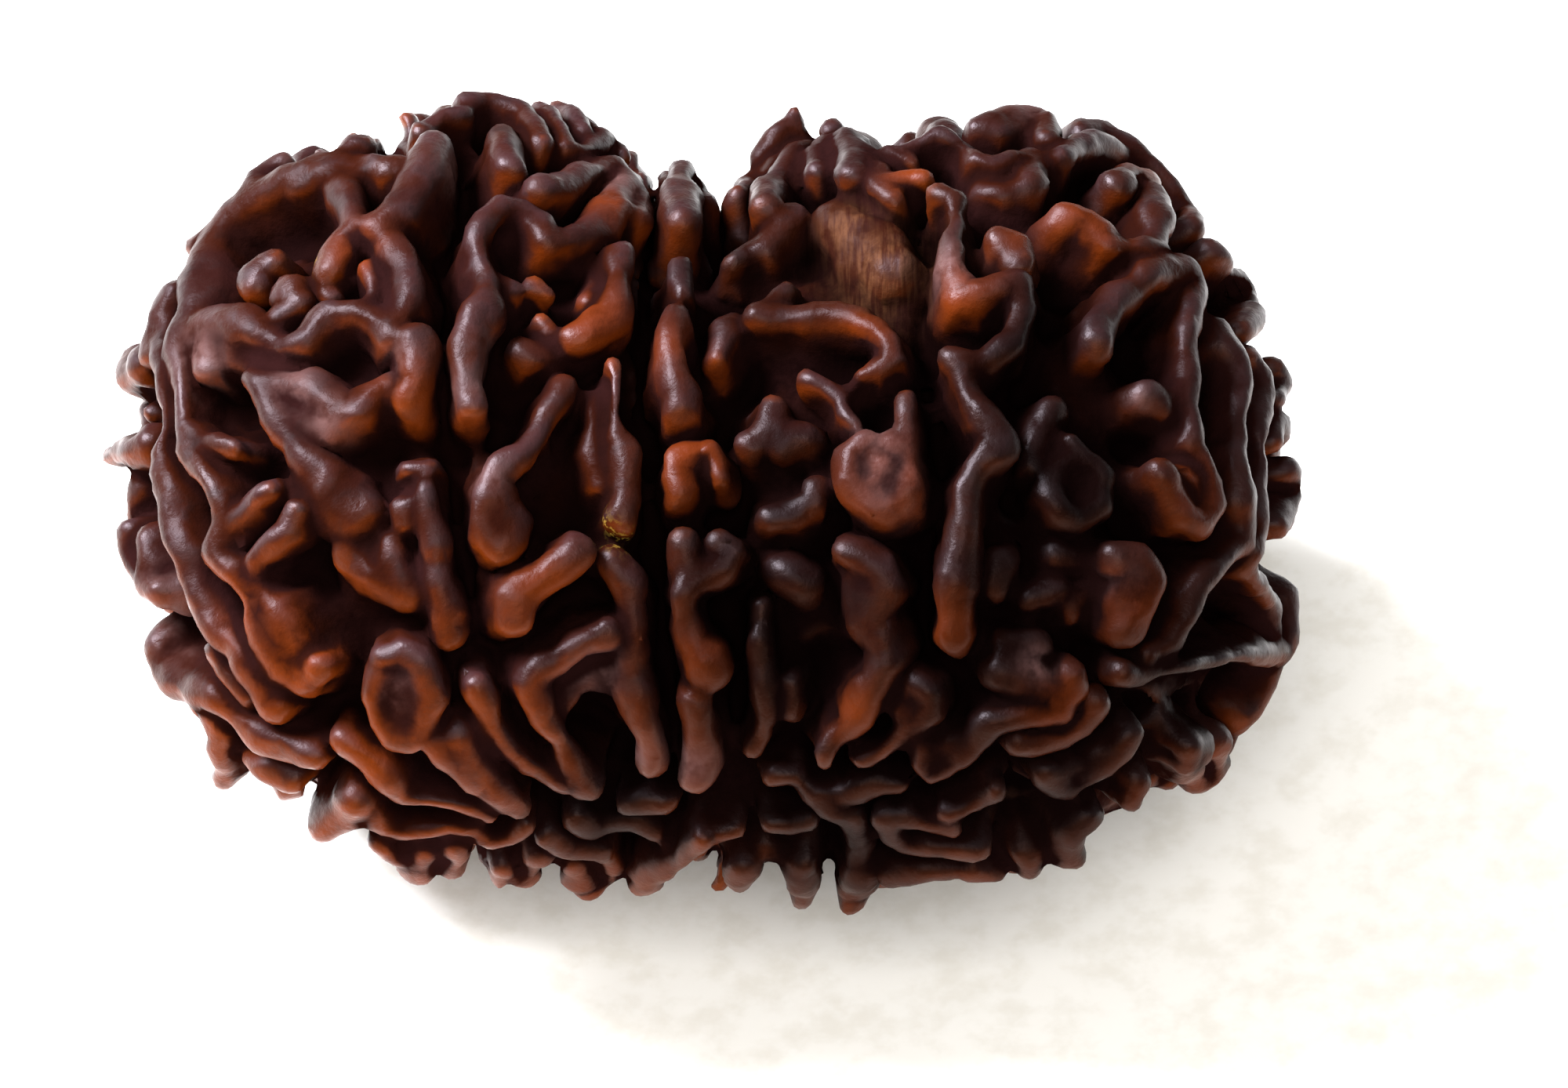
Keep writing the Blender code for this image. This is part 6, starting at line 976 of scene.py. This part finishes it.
def piece_distance(place, ridge, n):
    """Distance from one piece of a ridge: a round top over walls that go down into the body."""
    start, end = ridge.points[n:n + 2]
    run = end - start
    offset = [axis - value for axis, value in zip(place, start)]
    t = sum(part * value for part, value in zip(offset, run)) / max(run @ run, TINY)
    t = np.clip(t, 0.0, 1.0)
    offset = [part - t * value for part, value in zip(offset, run)]
    normal = [a + t * (b - a) for a, b in zip(ridge.normals[n], ridge.normals[n + 1])]
    rise = sum(part * value for part, value in zip(offset, normal))
    flat = np.maximum(sum(part * part for part in offset) - rise * rise, 0.0)
    depth = ridge.depths[n] + t * (ridge.depths[n + 1] - ridge.depths[n])
    radius = ridge.radii[n] + t * (ridge.radii[n + 1] - ridge.radii[n])
    radius = radius * (1.0 + WALL_FLARE * np.clip(-rise / depth, 0.0, 1.0))
    over = np.maximum(rise, 0.0) + np.maximum(-rise - depth, 0.0)
    return np.sqrt(flat + over * over) - radius


def ridge_distance(axes, ridge):
    """The cells round a ridge and their distances from it."""
    roots = ridge.points - ridge.normals * ridge.depths[:, None]
    reach = ridge.radii.max() * (1.0 + WALL_FLARE) + ROOT_BLEND
    windows = []
    for n in range(len(ridge.points) - 1):
        corners = np.vstack([ridge.points[n:n + 2], roots[n:n + 2]])
        windows.append(window(axes, corners.min(axis=0) - reach, corners.max(axis=0) + reach))
    whole = tuple(slice(min(part[axis].start for part in windows), max(part[axis].stop for part in windows))
                  for axis in range(3))
    own = np.full([part.stop - part.start for part in whole], FAR)
    for n, near in enumerate(windows):
        local = tuple(slice(part.start - outer.start, part.stop - outer.start)
                      for part, outer in zip(near, whole))
        own[local] = np.minimum(own[local], piece_distance(places(axes, near), ridge, n))
    return whole, own


def cut_grooves(field, axes):
    """Cuts the grooves into the body's field."""
    lines = [smooth_line(points) for points in GROOVES]
    tracks = [land(line, np.full(len(line), GROOVE_HEIGHT)) for line in lines]
    for points in tracks + hidden_grooves():
        track = Ridge(points, np.full(len(points), GROOVE_RADIUS))
        track.depths = np.full(len(points), TINY)
        near, own = ridge_distance(axes, track)
        field[near] = carve(field[near], own, GROOVE_BLEND)


def cut_hollows(field, axes):
    """Presses the hollows into the body's field."""
    for across, up, radius, depth in HOLLOWS:
        centre = land(np.array([[across, up]]), np.array([radius - depth - FLOOR_DROP]))[0]
        near = window(axes, centre - radius - ROOT_BLEND, centre + radius + ROOT_BLEND)
        offset = [axis - value for axis, value in zip(places(axes, near), centre)]
        ball = np.sqrt(sum(part * part for part in offset)) - radius
        field[near] = carve(field[near], ball, GROOVE_BLEND)


def cut_gaps(field, axes):
    """Clears the sight lines that pass between the teeth at the bead's edge."""
    upward = sight_axes()[1]
    for across, up, radius in GAPS:
        reach = radius + GROOVE_BLEND
        near = window(axes, (across - reach, *(-BLOCK[1:])), (across + reach, *BLOCK[1:]))
        place = places(axes, near)
        height = place[1] * upward[1] + place[2] * upward[2]
        gap = np.hypot(place[0] - across, height - up) - radius
        field[near] = carve(field[near], gap, GROOVE_BLEND)


def bead_field(cell):
    """The bead's distance field on a block of cells, and the places of the cells along each axis."""
    axes = [np.arange(-reach, reach + cell, cell) for reach in BLOCK]
    whole = tuple(slice(0, len(axis)) for axis in axes)
    cells = places(axes, whole)
    field = body(cells) + FLOOR_DROP + swells(cells)
    cut_grooves(field, axes)
    cut_hollows(field, axes)
    relief = np.full(field.shape, FAR)
    shown = ridges_in_sight() + feet()
    for ridge in shown + hidden_ridges(shown):
        near, own = ridge_distance(axes, ridge)
        relief[near] = blend(relief[near], own, RIDGE_BLEND)
    field = blend(field, relief, ROOT_BLEND)
    cut_gaps(field, axes)
    return field, axes


def outer_quads(quads, count):
    """The faces of the largest connected piece, so that no sealed pocket is left inside."""
    labels = np.arange(count)
    while True:
        lowest = labels[quads].min(axis=1)
        spread = labels.copy()
        for corner in quads.T:
            np.minimum.at(spread, corner, lowest)
        spread = spread[spread]
        if (spread == labels).all():
            break
        labels = spread
    largest = np.bincount(labels[quads[:, 0]]).argmax()
    return quads[labels[quads[:, 0]] == largest]


def mesh_of(field, axes, cell):
    """The field's outer surface as a mesh, in metres."""
    grid = openvdb.FloatGrid(FAR)
    grid.copyFromArray(field.astype(np.float32))
    points, _, quads = grid.convertToPolygons(isovalue=0.0, adaptivity=0.0)
    quads = outer_quads(quads.astype(np.int64), len(points))
    used, corners = np.unique(quads, return_inverse=True)
    low = np.array([axis[0] for axis in axes])
    points = (points[used] * cell + low) * MM
    mesh = bpy.data.meshes.new("rudraksha_bead")
    mesh.from_pydata(points.tolist(), [], corners.reshape(-1, 4).tolist())
    mesh.update()
    return mesh


def running_mean(values, reach, axis):
    """Mean of each cell and its neighbours within a number of cells along an axis."""
    padding = [(0, 0)] * values.ndim
    padding[axis] = (reach + 1, reach)
    total = np.cumsum(np.pad(values, padding, mode="edge"), axis=axis, dtype=np.float32)
    total = np.moveaxis(total, axis, 0)
    width = 2 * reach + 1
    mean = (total[width:] - total[:-width]) / width
    return np.moveaxis(mean, 0, axis)


def solid_share(field, reach):
    """How much of the space round each cell is solid: a half on a plain, less on a crest."""
    share = np.clip(0.5 - field / FINE_CELL, 0.0, 1.0).astype(np.float32)
    cells = max(1, round(reach / FINE_CELL))
    for axis in BLUR_ROUNDS * (0, 1, 2):
        share = running_mean(share, cells, axis)
    return share


def corner_weights(spots):
    """For points in a lattice: each corner of their cells, and its smooth share."""
    cells = np.floor(spots).astype(int)
    shares = spots - cells
    for corner in np.ndindex(2, 2, 2):
        yield cells + corner, np.prod(np.where(corner, shares, 1.0 - shares), axis=1)


def read_grid(grid, points):
    """The values of a grid of fine cells at points in millimetres."""
    spots = (points + np.array(BLOCK)) / FINE_CELL
    spots = np.clip(spots, 0.0, np.array(grid.shape) - 1.0 - TINY)
    return sum(share * grid[tuple(corner.T)] for corner, share in corner_weights(spots))


def noise(points, length, seed):
    """Seeded noise between -1 and 1, with humps about one length apart."""
    spots = (points + np.array(BLOCK)) / length + 1.0
    counts = np.ceil(spots.max(axis=0)).astype(int) + 2
    values = np.random.default_rng(seed).uniform(-1.0, 1.0, counts)
    cells = np.floor(spots)
    shares = spots - cells
    eased = cells + shares * shares * (3.0 - 2.0 * shares)
    return sum(share * values[tuple(corner.T)] for corner, share in corner_weights(eased))


def spot_mask(points, spots):
    """1 at the middle of each spot on the bead, fading to 0 past its radius."""
    mask = np.zeros(len(points))
    for across, up, radius in spots:
        centre = land(np.array([[across, up]]), np.array([SPOT_HEIGHT]))[0]
        distance = np.linalg.norm(points - centre, axis=1)
        mask = np.maximum(mask, np.exp(-((distance / radius) ** 2)))
    return mask


def points_of(mesh):
    """The mesh's points in millimetres."""
    points = np.empty(len(mesh.vertices) * 3)
    mesh.vertices.foreach_get("co", points)
    return points.reshape(-1, 3) / MM


def set_points(mesh, points):
    """Moves the mesh's points to the given places in millimetres."""
    mesh.vertices.foreach_set("co", (points * MM).ravel())
    mesh.update()


def normals_of(mesh):
    """Unit vectors out of the mesh at its points."""
    normals = np.empty(len(mesh.vertices) * 3)
    mesh.vertex_normals.foreach_get("vector", normals)
    return normals.reshape(-1, 3)


def roughen(mesh):
    """Adds lumps and pits of each size, by their heights on ridges and on the floor, and the fibres."""
    for n, (length, on_ridge, on_floor) in enumerate(LUMPS):
        points = points_of(mesh)
        floor = np.clip((RIDGE_RISE - body(points.T)) / RIDGE_RISE, 0.0, 1.0)
        height = on_ridge + (on_floor - on_ridge) * floor
        shift = height * noise(points, length, SEED + n)
        set_points(mesh, points + shift[:, None] * normals_of(mesh))
    points = points_of(mesh)
    fibres = noise(points * FIBRE_STRETCH, FIBRE_WIDTH, SEED)
    shift = FIBRE_HEIGHT * fibres * spot_mask(points, PALE_SPOTS)
    set_points(mesh, points + shift[:, None] * normals_of(mesh))


def thinned(mesh):
    """A copy of the mesh with fewer triangles."""
    rough = bpy.data.objects.new("rough_bead", mesh)
    bpy.context.scene.collection.objects.link(rough)
    smooth = rough.modifiers.new("even_out", "SMOOTH")
    smooth.factor = SMOOTHING_SHARE
    smooth.iterations = FINE_SMOOTHING_ROUNDS
    thin = rough.modifiers.new("fewer_triangles", "DECIMATE")
    thin.ratio = FINE_TRIANGLES / (2.0 * len(mesh.polygons))
    graph = bpy.context.evaluated_depsgraph_get()
    finished = bpy.data.meshes.new_from_object(rough.evaluated_get(graph))
    bpy.data.objects.remove(rough, do_unlink=True)
    return finished


def paint(mesh, field):
    """Stores on the mesh what its skin's colour depends on."""
    points = points_of(mesh)
    unroughened = points - read_grid(field, points)[:, None] * normals_of(mesh)
    values = {
        "crest": 0.5 - read_grid(solid_share(field, CREST_REACH), unroughened),
        "hollow": read_grid(solid_share(field, HOLLOW_REACH), unroughened) - 0.5,
        "lower_side": -normals_of(mesh) @ sight_axes()[1],
        "warm": spot_mask(points, WARM_SPOTS),
        # Mask of painted shade over the deepest hollows
        "dark": spot_mask(points, HOLLOW_SHADE_SPOTS),
        # Mask of painted shade on the lower front and right
        "shaded": spot_mask(points, SHADED_SPOTS),
        "pale": spot_mask(points, PALE_SPOTS),
        # Mask of painted highlights
        "painted_highlight": spot_mask(points, PAINTED_HIGHLIGHT_SPOTS),
        "crumbs": spot_mask(points, CRUMB_SPOTS),
        "right_stone": np.clip(points[:, 0] / STONE_RADII[0] + 0.5, 0.0, 1.0),
    }
    for name, value in values.items():
        mesh.attributes.new(name, "FLOAT", "POINT").data.foreach_set("value", value)


def fine_bead():
    """The bead with its finest relief, resting on its levelled feet."""
    field, axes = bead_field(FINE_CELL)
    mesh = mesh_of(field, axes, FINE_CELL)
    roughen(mesh)
    mesh = thinned(mesh)
    paint(mesh, field)
    points = points_of(mesh) - np.array(BEAD_MIDDLE)
    points[:, 2] = np.maximum(points[:, 2], 0.0)
    set_points(mesh, points)
    mesh.shade_smooth()
    bead = bpy.data.objects.new("bead_skin", mesh)
    bpy.context.scene.collection.objects.link(bead)
    return bead


class Graph:
    """Makes and joins the nodes of one material."""

    def __init__(self, material):
        material.use_nodes = True
        self.tree = material.node_tree
        self.shader = self.tree.nodes["Principled BSDF"]

    def node(self, kind, inputs=(), **settings):
        """A node with its settings and its inputs, each a number, a colour or another node's output."""
        made = self.tree.nodes.new(kind)
        for name, value in settings.items():
            setattr(made, name, value)
        for name, value in dict(inputs).items():
            self.put(made.inputs[name], value)
        return made

    def put(self, socket, value):
        """Sets a socket or joins it to another node's output."""
        if isinstance(value, bpy.types.NodeSocket):
            self.tree.links.new(value, socket)
        else:
            socket.default_value = value

    def attribute(self, name):
        """A value stored on the mesh."""
        return self.node("ShaderNodeAttribute", attribute_name=name).outputs["Fac"]

    def noise(self, place, length, detail, roughness):
        """Noise between 0 and 1 with humps about one length in millimetres apart."""
        inputs = {"Vector": place, "Scale": 1.0 / (length * MM), "Detail": detail, "Roughness": roughness}
        return self.node("ShaderNodeTexNoise", inputs).outputs["Fac"]

    def span(self, value, low, high, bottom, top):
        """A value mapped smoothly from one range to another."""
        inputs = {"Value": value, "From Min": low, "From Max": high, "To Min": bottom, "To Max": top}
        return self.node("ShaderNodeMapRange", inputs, interpolation_type="SMOOTHSTEP").outputs["Result"]

    def math(self, operation, first, second):
        """Arithmetic on two values."""
        made = self.node("ShaderNodeMath", operation=operation)
        self.put(made.inputs[0], first)
        self.put(made.inputs[1], second)
        return made.outputs[0]

    def plus(self, first, second):
        """The sum of two values."""
        return self.math("ADD", first, second)

    def times(self, first, second):
        """The product of two values."""
        return self.math("MULTIPLY", first, second)

    def mix(self, first, second, share):
        """A colour between two colours."""
        made = self.node("ShaderNodeMix", data_type="RGBA")
        self.put(made.inputs["Factor"], share)
        self.put(made.inputs["A"], first)
        self.put(made.inputs["B"], second)
        return made.outputs["Result"]

    def bump(self, height, strength, distance):
        """Bumps on the surface that follow a value, with their height in millimetres."""
        inputs = {"Height": height, "Strength": strength, "Distance": distance * MM}
        self.put(self.shader.inputs["Normal"], self.node("ShaderNodeBump", inputs).outputs["Normal"])


class Skin(Graph):
    """The nodes of the bead's skin. Each look follows the values stored on the mesh, and noise."""

    def __init__(self, material):
        super().__init__(material)
        place = self.node("ShaderNodeTexCoord").outputs["Object"]
        self.broad = self.noise(place, *BROAD_NOISE)
        self.sheen_patches = self.noise(place, *SHEEN_PATCH_NOISE)
        self.patchy = self.noise(place, *PATCHY_NOISE)
        self.fine = self.noise(place, *FINE_NOISE)
        self.crest = self.plus(self.attribute("crest"), self.span(self.patchy, *UNEVENNESS))
        self.hollow = self.attribute("hollow")
        self.lower_side = self.attribute("lower_side")
        self.upper_side = self.span(self.lower_side, *UPPER_SIDE_SPAN)
        self.right_stone = self.attribute("right_stone")
        self.shaded = self.attribute("shaded")
        strands = self.node("ShaderNodeMapping", {"Vector": place, "Scale": FIBRE_STRETCH.tolist()})
        self.fibres = self.noise(strands.outputs["Vector"], *FIBRE_NOISE)
        self.pulp = self.times(self.attribute("pale"), self.span(self.patchy, *PULP_SPAN))

    def shell_colour(self):
        """Purple brown on the floor, and orange brown on the ridges, with painted bounce light on their
        lower flanks and a painted lilac sheen on their upper sides.
        """
        colour = self.mix(FLOOR_COLOUR, RIDGE_COLOUR, self.span(self.crest, *RIDGE_SPAN))
        colour = self.mix(colour, PURPLE_COLOUR, self.span(self.broad, *PURPLE_SPAN))
        # Painted bounce light: the lower flanks of the ridges turn orange
        painted_bounce = self.times(self.span(self.lower_side, *BOUNCE_SIDE_SPAN), self.span(self.crest, *BOUNCE_CREST_SPAN))
        colour = self.mix(colour, WARM_TONE_AND_BOUNCE_COLOUR, painted_bounce)
        colour = self.mix(colour, TIP_COLOUR, self.span(self.crest, *TIP_SPAN))
        # Painted sheen: lilac in patches on the crests' upper sides
        painted_sheen = self.times(self.span(self.sheen_patches, *SHEEN_NOISE_SPAN), self.span(self.crest, *SHEEN_CREST_SPAN))
        return self.mix(colour, LILAC_SHEEN_COLOUR, self.times(self.upper_side, painted_sheen))

    def toned_and_shaded(self, colour):
        """The colour, darker on the right stone, partly in tone and partly as painted shade, darker in
        patches, and with painted shade in the shaded spots.
        """
        # Right stone darker: partly its tone, partly painted shade
        colour = self.mix(colour, DUSKY_TONE_AND_SHADE_COLOUR, self.times(self.right_stone, RIGHT_STONE_DUSK))
        colour = self.mix(colour, DUSKY_TONE_AND_SHADE_COLOUR, self.span(self.patchy, *DUSK_SPAN))
        # Painted shade in the shaded spots
        return self.mix(colour, DUSKY_TONE_AND_SHADE_COLOUR, self.times(self.shaded, SHADED_DUSK))

    def spotted(self, colour):
        """The colour with the warm spots, the painted shade of the shaded spots, the painted highlights,
        and the painted shade of the dark spots.
        """
        warmth = self.times(self.attribute("warm"), self.span(self.crest, *WARM_SPAN))
        colour = self.mix(colour, WARM_TONE_AND_BOUNCE_COLOUR, warmth)
        # Painted shade: the shaded spots go further toward black
        colour = self.mix(colour, PAINTED_SHADE_COLOUR, self.times(self.shaded, SHADED_BLACK))
        # Painted highlights: pale on the crests in these spots
        highlight_share = self.times(self.attribute("painted_highlight"), self.span(self.crest, *HIGHLIGHT_CREST_SPAN))
        highlight_share = self.times(highlight_share, self.span(self.patchy, *HIGHLIGHT_PATCH_SPAN))
        colour = self.mix(colour, PAINTED_HIGHLIGHT_COLOUR, highlight_share)
        # Painted shade: near black in the dark spots, most where the crest is low
        shade = self.times(self.attribute("dark"), self.span(self.crest, *HOLLOW_SHADE_SPAN))
        return self.mix(colour, PAINTED_SHADE_COLOUR, shade)

    def shaded_hollows(self, colour):
        """The colour, with painted near-black shade in the hollows and grooves."""
        # Painted shade: near black where the hollow value is high, more so on the right stone
        depth = self.span(self.plus(self.hollow, self.span(self.fine, *UNEVENNESS)), *DEPTH_SPAN)
        black = self.plus(self.times(self.right_stone, RIGHT_STONE_HOLLOW_SHADE), HOLLOW_SHADE_SHARE)
        return self.mix(colour, PAINTED_SHADE_COLOUR, self.times(depth, black))

    def littered(self, colour):
        """The colour with the dried pulp and the crumbs on it."""
        pulp = self.mix(FIBRE_COLOUR, PULP_COLOUR, self.span(self.fibres, *FIBRE_SPAN))
        colour = self.mix(colour, pulp, self.pulp)
        crumbs = self.times(self.attribute("crumbs"), self.span(self.fine, *CRUMB_SPAN))
        return self.mix(colour, CRUMB_COLOUR, crumbs)

    def roughness(self):
        """Waxy in patches, and dull in hollows and on the pulp."""
        dull = self.plus(self.span(self.hollow, *HOLLOW_DULL_SPAN), self.times(self.pulp, PULP_DULLNESS))
        return self.plus(dull, self.span(self.patchy, *GLOSS_SPAN))

    def shine(self):
        """Strongest on the crests, and weaker in the shaded spots and along the upper rim."""
        shine = self.times(self.span(self.crest, *SHINE_SPAN), self.span(self.shaded, *SHADED_SHINE_SPAN))
        return self.times(shine, self.span(self.lower_side, *UPPER_RIM_SHINE_SPAN))

    def grain(self):
        """Height of the bumps: fine and patchy ones, and the fibres on the pulp."""
        grain = self.plus(self.fine, self.times(self.patchy, PATCHY_GRAIN))
        return self.plus(grain, self.times(self.fibres, self.times(self.pulp, FIBRE_GRAIN)))


def skin_material():
    """Waxed dark shell: painted near-black shade in the grooves, brown on the floor and orange brown on the
    ridges.
    """
    material = bpy.data.materials.new("waxed_endocarp")
    skin = Skin(material)
    colour = skin.littered(skin.shaded_hollows(skin.spotted(skin.toned_and_shaded(skin.shell_colour()))))
    skin.put(skin.shader.inputs["Base Color"], colour)
    skin.put(skin.shader.inputs["Roughness"], skin.roughness())
    skin.put(skin.shader.inputs["Specular IOR Level"], skin.shine())
    skin.put(skin.shader.inputs["Specular Tint"], skin.mix(FLANK_SHEEN, TOP_SHEEN, skin.upper_side))
    skin.bump(skin.grain(), GRAIN_STRENGTH, GRAIN_HEIGHT)
    return material


def paper_material():
    """White paper with a faint mottle."""
    material = bpy.data.materials.new("white_paper")
    graph = Graph(material)
    place = graph.node("ShaderNodeTexCoord").outputs["Object"]
    mottle = graph.noise(place, *PAPER_NOISE)
    colour = graph.mix(PAPER_SHADE, PAPER_COLOUR, graph.span(mottle, *MOTTLE_SPAN))
    graph.put(graph.shader.inputs["Base Color"], colour)
    graph.put(graph.shader.inputs["Roughness"], PAPER_ROUGHNESS)
    graph.bump(mottle, PAPER_GRAIN_STRENGTH, PAPER_GRAIN_HEIGHT)
    return material


def paper_floor():
    """The plain white paper under the bead."""
    mesh = bpy.data.meshes.new("paper")
    half = FLOOR_SIZE / 2
    corners = [(-half, -half, 0.0), (half, -half, 0.0), (half, half, 0.0), (-half, half, 0.0)]
    mesh.from_pydata(corners, [], [(0, 1, 2, 3)])
    floor = bpy.data.objects.new("paper", mesh)
    floor.location = (0.0, 0.0, -FLOOR_GAP)
    bpy.context.scene.collection.objects.link(floor)
    mesh.materials.append(paper_material())


def soft_light(name, place, size, power, colour):
    """A square soft box that faces the bead."""
    light = bpy.data.lights.new(name, "AREA")
    light.size = size
    light.energy = power
    light.color = colour
    lamp = bpy.data.objects.new(name, light)
    lamp.location = place
    lamp.rotation_euler = (BEAD_AIM - mathutils.Vector(place)).to_track_quat("-Z", "Y").to_euler()
    bpy.context.scene.collection.objects.link(lamp)


def studio_light():
    """Soft window light from behind on the left, a weaker one in front, and white all round."""
    soft_light("window", WINDOW_PLACE, WINDOW_SIZE, WINDOW_POWER, WINDOW_COLOUR)
    soft_light("front", FRONT_PLACE, FRONT_SIZE, FRONT_POWER, FRONT_COLOUR)
    world = bpy.data.worlds.new("white_room")
    world.use_nodes = True
    background = world.node_tree.nodes["Background"]
    background.inputs["Color"].default_value = ROOM_COLOUR
    background.inputs["Strength"].default_value = ROOM_STRENGTH
    bpy.context.scene.world = world
    bpy.context.scene.view_settings.view_transform = "Standard"
    bpy.context.scene.view_settings.look = "None"


def photo_camera():
    """The camera at the photograph's viewing angle and framing."""
    data = bpy.data.cameras.new("photo_camera")
    data.lens = LENS
    data.sensor_width = SENSOR
    camera = bpy.data.objects.new("photo_camera", data)
    bpy.context.scene.collection.objects.link(camera)
    across, upward, toward = sight_axes()
    distance = PHOTO_SIZE[0] * MM_PER_PIXEL * LENS / SENSOR
    right_shift = (PHOTO_SIZE[0] / 2 - MIDDLE_PIXEL[0]) * MM_PER_PIXEL
    down_shift = (PHOTO_SIZE[1] / 2 - MIDDLE_PIXEL[1]) * MM_PER_PIXEL
    place = distance * toward + right_shift * across - down_shift * upward - np.array(BEAD_MIDDLE)
    turn = mathutils.Matrix((across, upward, toward)).transposed().to_4x4()
    camera.matrix_world = mathutils.Matrix.Translation(place * MM) @ turn
    bpy.context.scene.camera = camera


bead = fine_bead()
bead.data.materials.append(skin_material())
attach(bead, "root")
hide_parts(NODE)

paper_floor()
studio_light()
photo_camera()
